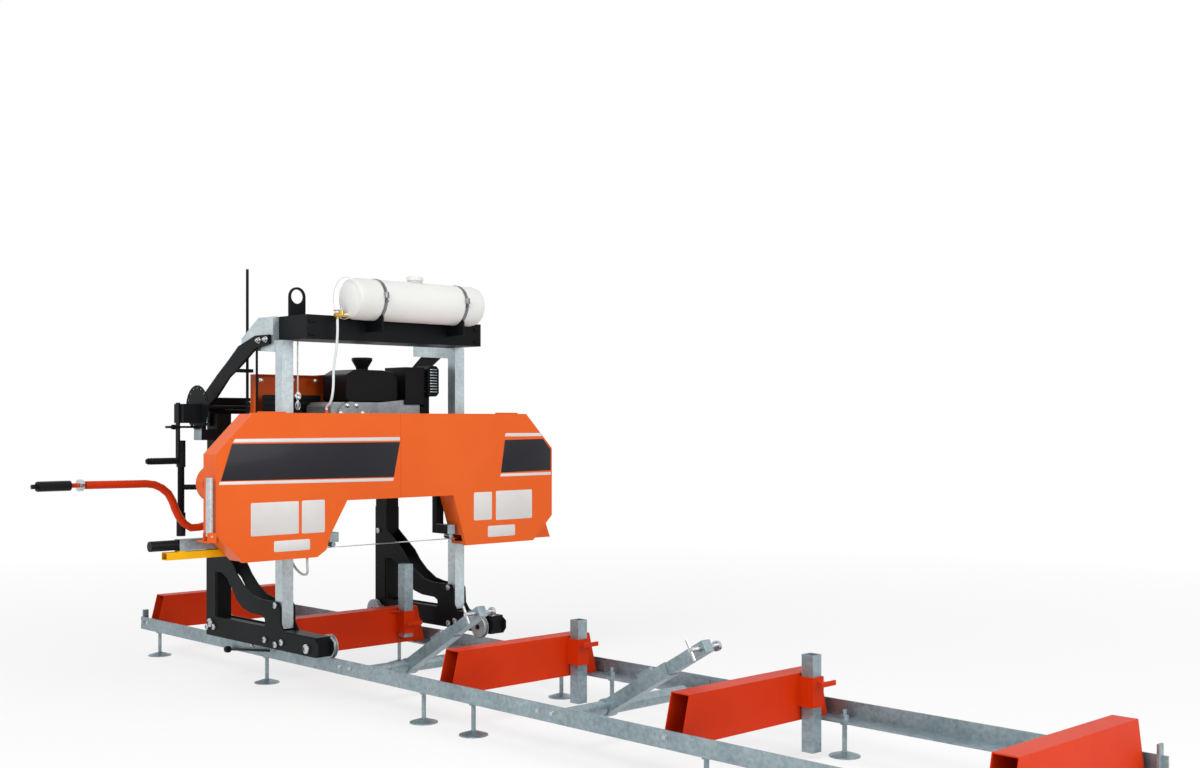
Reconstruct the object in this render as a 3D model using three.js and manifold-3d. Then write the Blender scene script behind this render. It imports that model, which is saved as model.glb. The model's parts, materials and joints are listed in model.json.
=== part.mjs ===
import * as THREE from "three";
import { mergeVertices } from "three/addons/utils/BufferGeometryUtils.js";
import Module from "manifold-3d";

const wasm = await Module();
wasm.setup();

// Millimetres. +X runs along the track, +Y from the operator's side to the far side, +Z up.
// The origin lies on the ground at the middle of the track.

// Driving dimensions.
const trackLength = 4470;
const railOuter = 371;
const bunkTop = 271.8;
const throatFrom = -254;
const throatWidth = 522;
const throatTop = 762;
const wheelDiameter = 480;
const wheelSpacing = 1070;
const bandWidth = 32;
const bandHeight = 578.5;
const coverMargin = 42;
const coverTop = 1101;
const coverBottom = 550;
const coverFront = -733.5;
const coverWidth = wheelSpacing + wheelDiameter + coverMargin * 2;
const postTop = 1385;
const winchHeight = 1126;
const tankDiameter = 163;
const tankLength = 652;

const fit = 0.3;
const runningFit = 0.05;
const mergeDistance = 0.001;
const hexSides = 6;

const paint = (color, roughness, metalness) => ({ color, roughness, metalness });
const coverOrange = paint(0xe86423, 0.42, 0.1);
const frameOrange = paint(0xcd3f10, 0.48, 0.1);
const galvanised = paint(0xaab6bd, 0.42, 0.8);
const blackPaint = paint(0x1c1d1f, 0.5, 0.2);
const blackPlastic = paint(0x17181a, 0.6, 0);
const foamBlack = paint(0x1a1a1c, 0.9, 0);
const brightSteel = paint(0xc4c8ca, 0.3, 0.95);
const tankWhite = paint(0xeef0ee, 0.4, 0);
const guardYellow = paint(0xf5be05, 0.45, 0.1);
const brassGold = paint(0xb8923f, 0.35, 0.9);
const clearHose = paint(0xdfe5e6, 0.25, 0);
const beltRubber = paint(0x141416, 0.8, 0);
const castGrey = paint(0x9ba1a4, 0.5, 0.8);

const sawmill = new THREE.Group();
sawmill.name = "portable_band_sawmill";

function solid(geometry) {
  const bare = geometry.index ? geometry.toNonIndexed() : geometry.clone();
  bare.deleteAttribute("normal");
  bare.deleteAttribute("uv");
  const merged = mergeVertices(bare, mergeDistance);
  return new wasm.Manifold(
    new wasm.Mesh({
      numProp: 3,
      vertProperties: merged.attributes.position.array,
      triVerts: new Uint32Array(merged.index.array),
    }),
  );
}

function geometryOf(body) {
  const mesh = body.getMesh();
  const stride = mesh.numProp;
  const positions = new Float32Array(mesh.numVert * 3);
  for (let i = 0; i < mesh.numVert; i++) {
    positions.set(mesh.vertProperties.subarray(i * stride, i * stride + 3), i * 3);
  }
  const geometry = new THREE.BufferGeometry();
  geometry.setAttribute("position", new THREE.BufferAttribute(positions, 3));
  geometry.setIndex(new THREE.BufferAttribute(mesh.triVerts, 1));
  geometry.computeVertexNormals();
  return geometry;
}

// A body from its first shape, the shapes joined to it and the shapes cut out of it.
function shape(joined, cuts = []) {
  let body = joined[0];
  for (const other of joined.slice(1)) body = body.add(other);
  for (const cut of cuts) body = body.subtract(cut);
  return body;
}

function addPart(name, body, look) {
  const mesh = new THREE.Mesh(geometryOf(body), new THREE.MeshStandardMaterial(look));
  mesh.name = name;
  sawmill.add(mesh);
}

function block(x0, x1, y0, y1, z0, z1) {
  const geometry = new THREE.BoxGeometry(Math.abs(x1 - x0), Math.abs(y1 - y0), Math.abs(z1 - z0));
  geometry.translate((x0 + x1) / 2, (y0 + y1) / 2, (z0 + z1) / 2);
  return solid(geometry);
}

// The matrix that carries local X, Y and Z onto the three directions of a prism's plane and axis.
function planeMatrix(axis) {
  const matrix = new THREE.Matrix4();
  const x = new THREE.Vector3(1, 0, 0);
  const y = new THREE.Vector3(0, 1, 0);
  const z = new THREE.Vector3(0, 0, 1);
  if (axis === "x") return matrix.makeBasis(y, z, x);
  if (axis === "y") return matrix.makeBasis(z, x, y);
  return matrix.makeBasis(x, y, z);
}

// Outlines are (Y, Z) pairs along X, (Z, X) pairs along Y and (X, Y) pairs along Z.
function prism(axis, outline, from, to) {
  const face = new THREE.Shape(outline.map(([u, v]) => new THREE.Vector2(u, v)));
  const geometry = new THREE.ExtrudeGeometry(face, { depth: to - from, bevelEnabled: false });
  geometry.translate(0, 0, from);
  geometry.applyMatrix4(planeMatrix(axis));
  return solid(geometry);
}

const swapped = (outline) => outline.map(([x, z]) => [z, x]);

function circle(centre, radius, sides) {
  return Array.from({ length: sides }, (_, i) => {
    const angle = (2 * Math.PI * i) / sides;
    return [centre[0] + radius * Math.cos(angle), centre[1] + radius * Math.sin(angle)];
  });
}

function disc(axis, centre, radius, from, to, sides) {
  return prism(axis, circle(centre, radius, sides), from, to);
}

// The radius of a faceted hole that a faceted shaft turns in freely.
function boreFor(radius, sides) {
  return (radius + runningFit) / Math.cos(Math.PI / sides);
}

// A round bar between two points.
function rod(from, to, radius, sides) {
  const start = new THREE.Vector3(...from);
  const end = new THREE.Vector3(...to);
  const direction = end.clone().sub(start);
  const geometry = new THREE.CylinderGeometry(radius, radius, direction.length(), sides);
  const up = new THREE.Vector3(0, 1, 0);
  const turn = new THREE.Quaternion().setFromUnitVectors(up, direction.clone().normalize());
  geometry.applyQuaternion(turn);
  const middle = start.add(end).multiplyScalar(1 / 2);
  geometry.translate(middle.x, middle.y, middle.z);
  return solid(geometry);
}

// A round bar bent smoothly through the points.
function bentRod(points, radius, sides, steps) {
  const path = new THREE.CatmullRomCurve3(points.map((point) => new THREE.Vector3(...point)));
  const section = new THREE.Shape(
    circle([0, 0], radius, sides).map(([u, v]) => new THREE.Vector2(u, v)),
  );
  return solid(new THREE.ExtrudeGeometry(section, { steps, bevelEnabled: false, extrudePath: path }));
}

// A turned body: (radius, distance) pairs, turned about the axis through the centre.
function turned(axis, centre, profile, sides) {
  const geometry = new THREE.LatheGeometry(
    profile.map(([radius, along]) => new THREE.Vector2(radius, along)),
    sides,
  );
  const upright = new THREE.Matrix4().makeRotationX(Math.PI / 2);
  geometry.applyMatrix4(upright);
  const place = new THREE.Matrix4().makeTranslation(centre[0], centre[1], 0);
  geometry.applyMatrix4(place);
  geometry.applyMatrix4(planeMatrix(axis));
  const body = solid(geometry);
  return body.volume() > 0 ? body : solid(flipped(geometry));
}

function flipped(geometry) {
  const plain = geometry.index ? geometry.toNonIndexed() : geometry.clone();
  const positions = plain.attributes.position;
  for (let i = 0; i < positions.count; i += 3) {
    const held = new THREE.Vector3().fromBufferAttribute(positions, i + 1);
    const other = new THREE.Vector3().fromBufferAttribute(positions, i + 2);
    positions.setXYZ(i + 1, other.x, other.y, other.z);
    positions.setXYZ(i + 2, held.x, held.y, held.z);
  }
  return plain;
}

// The outline round a set of points.
function hull(points) {
  const sorted = [...points].sort((a, b) => a[0] - b[0] || a[1] - b[1]);
  const side = (list) => {
    const kept = [];
    for (const point of list) {
      while (kept.length > 1) {
        const [a, b] = kept.slice(-2);
        const turn = (b[0] - a[0]) * (point[1] - a[1]) - (b[1] - a[1]) * (point[0] - a[0]);
        if (turn > 0) break;
        kept.pop();
      }
      kept.push(point);
    }
    kept.pop();
    return kept;
  };
  return [...side(sorted), ...side(sorted.reverse())];
}

// An outline moved inwards by the same distance all round; the outline runs anticlockwise.
function inset(outline, distance) {
  const count = outline.length;
  return outline.map((point, i) => {
    const before = outline[(i + count - 1) % count];
    const after = outline[(i + 1) % count];
    const normal = (a, b) => {
      const length = Math.hypot(b[0] - a[0], b[1] - a[1]);
      return [-(b[1] - a[1]) / length, (b[0] - a[0]) / length];
    };
    const first = normal(before, point);
    const second = normal(point, after);
    const scale = distance / (1 + first[0] * second[0] + first[1] * second[1]);
    return [point[0] + (first[0] + second[0]) * scale, point[1] + (first[1] + second[1]) * scale];
  });
}

const rail = {
  half: trackLength / 2,
  outer: railOuter,
  thick: 6,
  bottom: 115.5,
  tall: 56,
  flange: 90,
  stopFrom: 23,
  stopThick: 8,
  stopTop: 204,
  stopWide: 26,
  spliceReach: 70,
  spliceTop: 160,
  spliceBottom: 124,
  spliceThick: 5,
};
rail.top = rail.bottom + rail.tall;
rail.shelf = rail.bottom + rail.thick;
rail.centre = rail.outer - rail.thick / 2;

const foot = {
  across: 331,
  stations: [140, 1200, rail.half - 105],
  stemRadius: 8,
  padRadius: 51,
  padEdge: 4,
  padRise: 16,
  neck: 12,
  nutRadius: 15,
  nutTall: 13,
  stemTop: 150,
  sides: 8,
  padSides: 14,
};

const footAt = (x, y) => {
  const pad = [
    [0, 0],
    [foot.padRadius, 0],
    [foot.padRadius, foot.padEdge],
    [foot.neck, foot.padRise],
    [0, foot.padRise],
  ];
  const underBunk = Math.abs(x) === foot.stations[2];
  const top = underBunk ? rail.shelf : foot.stemTop;
  const bodies = [
    turned("z", [x, y], pad, foot.padSides),
    disc("z", [x, y], foot.stemRadius, foot.padEdge, top, foot.sides),
    disc("z", [x, y], foot.nutRadius, rail.bottom - foot.nutTall, rail.bottom, hexSides),
  ];
  if (!underBunk) {
    bodies.push(disc("z", [x, y], foot.nutRadius, rail.shelf, rail.shelf + foot.nutTall, hexSides));
  }
  return bodies;
};

// One half of one rail, with its three levelling feet and its end stop; the far halves carry the splice.
function railHalf(side, end) {
  const from = end < 0 ? -rail.half : fit;
  const to = end < 0 ? 0 : rail.half;
  const inner = rail.outer - rail.flange;
  const section = [
    [inner, rail.bottom],
    [rail.outer, rail.bottom],
    [rail.outer, rail.top],
    [rail.outer - rail.thick, rail.top],
    [rail.outer - rail.thick, rail.shelf],
    [inner, rail.shelf],
  ].map(([y, z]) => [side * y, z]);
  const stop = end * (rail.half - rail.stopFrom);
  const bodies = [
    prism("x", section, from, to),
    block(
      stop, stop + end * rail.stopThick,
      side * (rail.outer - rail.stopWide), side * rail.outer,
      rail.bottom + rail.thick / 2, rail.stopTop,
    ),
    ...foot.stations.flatMap((x) => footAt(end * x, side * foot.across)),
  ];
  if (end < 0) {
    const face = rail.outer - rail.thick - fit;
    bodies.push(
      block(
        -rail.spliceReach, rail.spliceReach,
        side * (face - rail.spliceThick), side * face,
        rail.spliceBottom, rail.spliceTop,
      ),
      block(
        -rail.spliceReach, -rail.spliceReach / 2,
        side * (face - rail.spliceThick), side * (rail.outer - rail.thick / 2),
        rail.spliceBottom, rail.spliceTop,
      ),
    );
  }
  return shape(bodies);
}

addPart("rail_front_far", railHalf(-1, -1), galvanised);
addPart("rail_front_near", railHalf(-1, 1), galvanised);
addPart("rail_rear_far", railHalf(1, -1), galvanised);
addPart("rail_rear_near", railHalf(1, 1), galvanised);

const bunk = {
  stations: [75 - rail.half, -1080, 0, 1080, rail.half - 95],
  wide: 75,
  wall: 4,
  bottom: rail.shelf + fit,
  top: bunkTop,
  bottomEnd: 350,
  topEnd: 312,
};

const rest = {
  across: 230,
  size: 45,
  wall: 3,
  collarWall: 5,
  collarBottom: 166,
  collarTop: 262,
  long: 310,
  lowered: 22,
  raised: 150,
  screwRadius: 6,
  screwLong: 46,
  wingHalf: 37,
  wingThick: 6,
  wingTall: 16,
  gussetReach: 60,
  gussetThick: 6,
};
rest.face = bunk.wide / 2;
rest.centre = rest.face + rest.collarWall + fit + rest.size / 2;

// A square rest collar on the bunk's near face, with its wing screw on the side away from the bunk.
function collarAt(x, screwHeight, gusset) {
  const outer = rest.size / 2 + fit + rest.collarWall;
  const inner = rest.size / 2 + fit;
  const middle = x + rest.centre;
  const screwEnd = middle + inner;
  const screwHead = screwEnd + rest.screwLong;
  const joined = [
    block(
      x + rest.face - bunk.wall / 2, middle + outer,
      rest.across - outer, rest.across + outer,
      rest.collarBottom, rest.collarTop,
    ),
    rod(
      [screwEnd + fit, rest.across, screwHeight], [screwHead, rest.across, screwHeight],
      rest.screwRadius, foot.sides,
    ),
    block(
      screwHead - rest.wingThick, screwHead,
      rest.across - rest.wingHalf, rest.across + rest.wingHalf,
      screwHeight - rest.wingTall / 2, screwHeight + rest.wingTall / 2,
    ),
  ];
  if (gusset) {
    const start = x + rest.face - bunk.wall / 2;
    const side = rest.across - outer;
    joined.push(
      prism(
        "z",
        [
          [start, side - rest.gussetReach],
          [middle, side + rest.gussetThick / 2],
          [start, side + rest.gussetThick / 2],
        ],
        rest.collarTop - rest.gussetThick,
        rest.collarTop,
      ),
    );
  }
  const bore = block(
    middle - inner, middle + inner,
    rest.across - inner, rest.across + inner,
    rest.collarBottom - fit, rest.collarTop + fit,
  );
  return { joined, bore };
}

bunk.stations.forEach((x, i) => {
  const outline = [
    [-bunk.bottomEnd, bunk.bottom],
    [bunk.bottomEnd, bunk.bottom],
    [bunk.topEnd, bunk.top],
    [-bunk.topEnd, bunk.top],
  ];
  const hollow = [
    [-bunk.bottomEnd - bunk.wall, bunk.bottom + bunk.wall],
    [bunk.bottomEnd + bunk.wall, bunk.bottom + bunk.wall],
    [bunk.bottomEnd + bunk.wall, bunk.top - bunk.wall],
    [-bunk.bottomEnd - bunk.wall, bunk.top - bunk.wall],
  ];
  const half = bunk.wide / 2;
  let body = shape(
    [prism("x", outline, x - half, x + half)],
    [prism("x", hollow, x - half + bunk.wall, x + half - bunk.wall)],
  );
  if (i > 0 && i < bunk.stations.length - 1) {
    const middle = (rest.collarBottom + rest.collarTop) / 2;
    const high = rest.collarTop - rest.wingTall;
    const collar = collarAt(x, i === 1 ? middle : high, i === 1);
    body = shape([body, ...collar.joined], [collar.bore]);
    const bottom = i === 1 ? rest.raised : rest.lowered;
    const size = rest.size / 2;
    const bore = size - rest.wall;
    const at = x + rest.centre;
    addPart(
      `log_rest_${i + 1}`,
      shape(
        [block(at - size, at + size, rest.across - size, rest.across + size, bottom, bottom + rest.long)],
        [block(at - bore, at + bore, rest.across - bore, rest.across + bore, bottom - fit, bottom + rest.long + fit)],
      ),
      galvanised,
    );
  }
  addPart(`bunk_${i + 1}`, body, frameOrange);
});

const crossTube = {
  stations: [-550, 550],
  radius: 24,
  wall: 3,
  height: 122,
  reach: 278,
  plateThick: 5,
  plateFrom: 250,
  plateHalf: 48,
  tabTop: 160,
  sides: 20,
};

const clamp = {
  across: -90,
  sleeveLong: 44,
  sleeveRadius: 31,
  rise: Math.PI / 6,
  wide: 44,
  deep: 46,
  wall: 3,
  armFrom: 22,
  armTo: 330,
  slideFrom: 120,
  slideTo: 470,
  slideWall: 3,
  nutTo: 510,
  screwRadius: 7.9,
  screwFrom: -66,
  screwTo: 66,
  dogRadius: 17,
  dogLong: 12,
  barRadius: 5,
  barHalf: 34,
  catchFrom: 180,
  catchLong: 70,
  catchTall: 16,
  catchWide: 12,
  sides: 14,
};

clamp.slideWide = clamp.wide - clamp.wall * 2 - runningFit * 4;
clamp.slideDeep = clamp.deep - clamp.wall * 2 - runningFit * 4;

// Turns a body built along +X from the tube's axis up to the clamp's slope and sets it on the tube.
function onSlope(body, x) {
  const degrees = (clamp.rise * 180) / Math.PI;
  return body.rotate([0, -degrees, 0]).translate([x, clamp.across, crossTube.height]);
}

crossTube.stations.forEach((x, i) => {
  const name = ["far", "near"][i];
  const ends = [-1, 1];
  const bodies = [
    disc("y", [crossTube.height, x], crossTube.radius, -crossTube.reach, crossTube.reach, crossTube.sides),
    ...ends.map((side) =>
      block(
        x - crossTube.plateHalf, x + crossTube.plateHalf,
        side * crossTube.plateFrom, side * (rail.outer - rail.thick - fit),
        rail.shelf + fit, rail.shelf + fit + crossTube.plateThick,
      ),
    ),
    ...ends.map((side) =>
      block(
        x - crossTube.plateHalf, x + crossTube.plateHalf,
        side * (rail.outer - rail.thick - fit - crossTube.plateThick), side * (rail.outer - rail.thick - fit),
        rail.shelf + fit, crossTube.tabTop,
      ),
    ),
  ];
  const bore = crossTube.radius - crossTube.wall;
  const hollow = disc(
    "y", [crossTube.height, x], bore, -crossTube.reach - fit, crossTube.reach + fit, crossTube.sides,
  );
  addPart(`cross_tube_${name}`, shape(bodies, [hollow]), galvanised);

  const half = clamp.wide / 2;
  const deep = clamp.deep / 2;
  const sleeve = clamp.sleeveLong / 2;
  const tubeBore = boreFor(crossTube.radius, crossTube.sides);
  const arm = shape(
    [
      disc("y", [0, 0], clamp.sleeveRadius, -sleeve, sleeve, crossTube.sides),
      block(clamp.armFrom, clamp.armTo, -half, half, -deep, deep),
      block(
        clamp.catchFrom, clamp.catchFrom + clamp.catchLong,
        -clamp.catchWide / 2, clamp.catchWide / 2, deep - clamp.wall, deep + clamp.catchTall,
      ),
    ],
    [
      disc("y", [0, 0], tubeBore, -sleeve - fit, sleeve + fit, crossTube.sides),
      block(
        clamp.sleeveRadius + clamp.wall, clamp.armTo + fit,
        -half + clamp.wall, half - clamp.wall, -deep + clamp.wall, deep - clamp.wall,
      ),
    ],
  );
  addPart(`clamp_arm_${name}`, onSlope(arm, x), galvanised);

  const slideHalf = clamp.slideWide / 2;
  const slideDeep = clamp.slideDeep / 2;
  const slide = shape(
    [block(clamp.slideFrom, clamp.nutTo, -slideHalf, slideHalf, -slideDeep, slideDeep)],
    [
      block(
        clamp.slideFrom - fit, clamp.slideTo,
        -slideHalf + clamp.slideWall, slideHalf - clamp.slideWall,
        -slideDeep + clamp.slideWall, slideDeep - clamp.slideWall,
      ),
      disc(
        "y", [0, (clamp.slideTo + clamp.nutTo) / 2], boreFor(clamp.screwRadius, clamp.sides),
        -slideHalf - fit, slideHalf + fit, clamp.sides,
      ),
    ],
  );
  addPart(`clamp_slide_${name}`, onSlope(slide, x), galvanised);

  const at = (clamp.slideTo + clamp.nutTo) / 2;
  const screw = shape([
    disc("y", [0, at], clamp.screwRadius, clamp.screwFrom, clamp.screwTo, clamp.sides),
    disc("y", [0, at], clamp.dogRadius, clamp.screwTo - clamp.dogLong, clamp.screwTo, clamp.sides),
    disc(
      "z", [at, clamp.screwFrom + clamp.barRadius], clamp.barRadius,
      -clamp.barHalf, clamp.barHalf, foot.sides,
    ),
  ]);
  addPart(`clamp_screw_${name}`, onSlope(screw, x), i === 0 ? brassGold : brightSteel);
});

const frame = {
  inner: 389,
  sheet: 6,
  postInner: 399,
  postOuter: 449,
  outerSheet: 453,
  outer: 459,
  columnBack: -1465,
  columnFront: -1380,
  columnTop: winchHeight - 26,
  footTop: 258,
  footBottom: 183,
  footFront: -640,
};

// (X, Z) outlines of the cheek plates and of their window.
const cheekOutline = [
  [-1465, 183],
  [-640, 183],
  [-622, 205],
  [-622, 236],
  [-650, 254],
  [-837, 254],
  [-866, 262],
  [-889, 289],
  [-893, 350],
  [-909, 367],
  [-1035, 368],
  [-1100, 379],
  [-1166, 412],
  [-1215, 449],
  [-1254, 491],
  [-1364, 567],
  [-1380, 579],
  [-1380, 680],
  [-1465, 680],
];
const windowOutline = [
  [-1390, 264],
  [-1008, 264],
  [-998, 272],
  [-1003, 294],
  [-1025, 304],
  [-1110, 307],
  [-1170, 320],
  [-1215, 345],
  [-1250, 385],
  [-1296, 430],
  [-1340, 450],
  [-1390, 450],
];

const post = {
  back: -940,
  front: -890,
  bottom: 264,
  top: postTop,
  wall: 3,
};

const beamTall = 94;
const beam = {
  back: -950,
  front: -750,
  bottom: postTop + fit,
  top: postTop + beamTall,
  reach: 427,
  wall: 4,
  capThick: 6,
  eyeAt: -900,
  eyeThick: 10,
  eyeOuter: 37,
  eyeHole: 28,
  eyeAcross: -380,
  eyeHeight: postTop + beamTall + 78,
  eyeSides: 20,
};

const kneeOutline = [
  [post.back + fit, 1340],
  [post.back + fit, post.top],
  [beam.back - fit, post.top],
  [beam.back - fit, beam.top],
  [-1060, beam.top],
  [-1190, 1402],
  [-1190, 1356],
];

const axle = {
  stations: [-684, -1440],
  tread: 40.6,
  flange: 47,
  centre: rail.centre,
  wide: 24,
  groove: 8.4,
  bevel: 3,
  radius: 10,
  hub: 17,
  hubEnd: 388,
  end: 352,
  sides: 16,
};
axle.height = rail.top + axle.tread + fit / 2;

const winch = {
  x: -1405,
  height: winchHeight,
  discRadius: 91,
  discFrom: -535,
  discThick: 4,
  discSides: 32,
  holeCircle: 80,
  holeRadius: 5,
  holeCount: 16,
  holeSides: 6,
  bracketHalf: 32,
  bracketFrom: winchHeight - 134,
  bracketTop: winchHeight - 90,
  bearingTop: winchHeight + 26,
  bearingThick: 22,
  shaft: 10,
  shaftEnd: -232,
  drumFrom: -300,
  drumTo: -250,
  drumCore: 17,
  drumFlange: 29,
  flangeThick: 4,
  hubHalf: 40,
  hubTop: winchHeight + 14,
  hubBottom: winchHeight - 64,
  armHalf: 12,
  armFrom: -622,
  armTo: -614,
  armTop: winchHeight + 19,
  armBottom: winchHeight - 232,
  gripAt: winchHeight - 217,
  pinRadius: 6,
  pinEnd: -754,
  pinHead: 10,
  gripRadius: 13,
  gripFrom: -748,
  gripTo: -628,
  sides: 16,
};
winch.indexHeight = winch.height - winch.holeCircle;

const tie = {
  back: -1480,
  front: -1442,
  bottom: frame.columnTop,
  top: winchHeight + 42,
  bracketFrom: -238,
  bracketTo: -228,
  bracketFront: -1384,
  bracketBottom: winchHeight - 22,
  bracketTop: winchHeight + 24,
};

const brace = {
  inner: frame.outerSheet + frame.sheet / 2 + fit,
  thick: 12,
  outline: [
    [-960, postTop - 13],
    [-960, postTop + 23],
    [-1060, postTop + 23],
    [-1190, postTop - 14],
    [-1269, winchHeight + 191],
    [-1359, winchHeight + 134],
    [-1465, winchHeight + 60],
    [-1465, winchHeight - 76],
    [-1422, winchHeight - 76],
    [-1422, winchHeight + 16],
    [-1395, winchHeight + 27],
    [-1368, winchHeight + 44],
    [-1269, winchHeight + 121],
    [-1181, postTop - 95],
    [-1060, postTop - 27],
  ],
  eyeBack: -1264,
  eyeFront: -1226,
  eyeInner: 378,
  eyeBottom: winchHeight + 142,
  eyeTop: winchHeight + 156,
  rodAt: -1056,
  rodBottom: 1010,
  rodTop: postTop - 10,
  rodRadius: 5,
};

const guideRod = {
  x: -1245,
  across: -395,
  radius: 6,
  bottom: 1070,
  top: 1690,
  sides: 10,
};

const handle = {
  x: -1500,
  across: -555,
  bottom: 600,
  top: 985,
  radius: 14,
  foamRadius: 18.5,
  upperFrom: 880,
  upperTo: 990,
  lowerFrom: 595,
  lowerTo: 692,
  stubHeight: 797,
  stubRadius: 11,
  stubX: -1436,
  sides: 14,
};

const push = {
  radius: 16,
  steps: 17,
  sides: 10,
  gripRadius: 20,
  gripFrom: -1168,
  gripTo: -1040,
  ringRadius: 23,
  ringFrom: -1010,
  ringTo: -990,
  coreTo: -975,
  capTip: -1196,
  capNeck: 9,
  height: 820,
  x: -1460,
  flangeHalf: 30,
  flangeThick: 6,
  footHeight: 640,
};
// Points of the push bar from the column to its tip.
const pushPath = [
  [-1446, -464, push.footHeight],
  [-1447, -480, push.footHeight - 2],
  [-1452, -505, push.footHeight - 10],
  [-1456, -545, push.footHeight - 6],
  [-1458, -590, push.footHeight + (push.height - push.footHeight) / 4],
  [-1459, -630, push.height - 48],
  [push.x, -690, push.height - 8],
  [push.x, -780, push.height - 2],
  [push.x, -980, push.height],
];

function cheek(side, from, to) {
  const [low, high] = side > 0 ? [from, to] : [-to, -from];
  const plate = prism("y", swapped(cheekOutline), low, high);
  return plate.subtract(prism("y", swapped(windowOutline), low - fit, high + fit));
}

function spanY(side, from, to) {
  return side > 0 ? [from, to] : [-to, -from];
}

function sideFrame(side) {
  const [columnFrom, columnTo] = spanY(side, frame.inner + frame.sheet / 2, frame.outerSheet + frame.sheet / 2);
  const [footFrom, footTo] = spanY(side, frame.inner + frame.sheet / 2, frame.outerSheet + frame.sheet / 2);
  const bodies = [
    cheek(side, frame.inner, frame.inner + frame.sheet),
    cheek(side, frame.outerSheet, frame.outer),
    block(frame.columnBack, frame.columnFront, columnFrom, columnTo, frame.footBottom, frame.columnTop),
    block(frame.columnBack, frame.footFront, footFrom, footTo, frame.footBottom, frame.footTop),
    ...axle.stations.map((x) => {
      const [from, to] = spanY(side, axle.end, frame.inner + frame.sheet / 2);
      return disc("y", [axle.height, x], axle.radius, from, to, axle.sides);
    }),
  ];
  return bodies;
}

const winchBracket = [
  block(
    winch.x - winch.bracketHalf, winch.x + winch.bracketHalf,
    winch.discFrom + winch.discThick + fit, -frame.outerSheet + frame.sheet / 2,
    winch.bracketFrom, winch.bracketTop,
  ),
  block(
    winch.x - winch.bracketHalf, winch.x + winch.bracketHalf,
    winch.discFrom + winch.discThick + fit, winch.discFrom + winch.discThick + winch.bearingThick,
    winch.bracketFrom, winch.bearingTop,
  ),
];
const shaftBore = (from, to) =>
  disc("y", [winch.height, winch.x], boreFor(winch.shaft, winch.sides), from, to, winch.sides);

addPart(
  "side_frame_front",
  shape(
    [
      ...sideFrame(-1),
      ...winchBracket,
    ],
    [shaftBore(winch.discFrom, frame.inner * -1)],
  ),
  blackPaint,
);
addPart(
  "side_frame_rear",
  shape(
    [
      ...sideFrame(1),
      block(tie.back, tie.front, -frame.outerSheet, frame.outerSheet, tie.bottom + fit, tie.top),
      block(
        frame.columnBack, tie.front,
        frame.inner + frame.sheet, frame.outerSheet,
        frame.columnTop - frame.sheet, tie.top - frame.sheet,
      ),
      block(
        tie.front - frame.sheet, tie.bracketFront, tie.bracketFrom, tie.bracketTo,
        tie.bracketBottom, tie.bracketTop,
      ),
    ],
    [shaftBore(tie.bracketFrom - fit, tie.bracketTo + fit)],
  ),
  blackPaint,
);

for (const [name, side] of [["front", -1], ["rear", 1]]) {
  const [from, to] = spanY(side, frame.postInner, frame.postOuter);
  const [kneeFrom, kneeTo] = spanY(side, frame.postInner, frame.outerSheet);
  const wall = post.wall;
  addPart(
    `post_${name}`,
    shape(
      [
        block(post.back, post.front, from, to, post.bottom, post.top),
        prism("y", swapped(kneeOutline), kneeFrom, kneeTo),
      ],
      [block(post.back + wall, post.front - wall, from + wall, to - wall, post.bottom - fit, post.top + fit)],
    ),
    galvanised,
  );

  const [braceFrom, braceTo] = spanY(side, brace.inner, brace.inner + brace.thick);
  const bodies = [prism("y", swapped(brace.outline), braceFrom, braceTo)];
  const cuts = [];
  if (side < 0) {
    bodies.push(
      block(
        brace.eyeBack, brace.eyeFront, braceTo - brace.thick / 2, -brace.eyeInner,
        brace.eyeBottom, brace.eyeTop,
      ),
      rod(
        [brace.rodAt, (braceFrom + braceTo) / 2, brace.rodBottom],
        [brace.rodAt, (braceFrom + braceTo) / 2, brace.rodTop],
        brace.rodRadius, foot.sides,
      ),
    );
    cuts.push(
      disc(
        "z", [guideRod.x, guideRod.across], boreFor(guideRod.radius, guideRod.sides),
        brace.eyeBottom - fit, brace.eyeTop + fit, guideRod.sides,
      ),
    );
  }
  addPart(`brace_${name}`, shape(bodies, cuts), blackPaint);

  axle.stations.forEach((x, i) => {
    const half = axle.wide / 2;
    const groove = axle.groove / 2;
    const bore = boreFor(axle.radius, axle.sides);
    const reach = axle.hubEnd - axle.centre;
    const profile = [
      [bore, -half],
      [axle.flange - axle.bevel, -half],
      [axle.flange, -half + axle.bevel],
      [axle.flange, -groove - axle.bevel / 2],
      [axle.tread, -groove],
      [axle.tread, groove],
      [axle.flange, groove + axle.bevel / 2],
      [axle.flange, half - axle.bevel],
      [axle.flange - axle.bevel, half],
      [axle.hub, half],
      [axle.hub, reach],
      [bore, reach],
      [bore, -half],
    ].map(([radius, along]) => [radius, side * (axle.centre + along)]);
    addPart(
      `track_wheel_${name}_${["near", "far"][i]}`,
      turned("y", [axle.height, x], profile, axle.sides),
      brightSteel,
    );
  });
}

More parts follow.
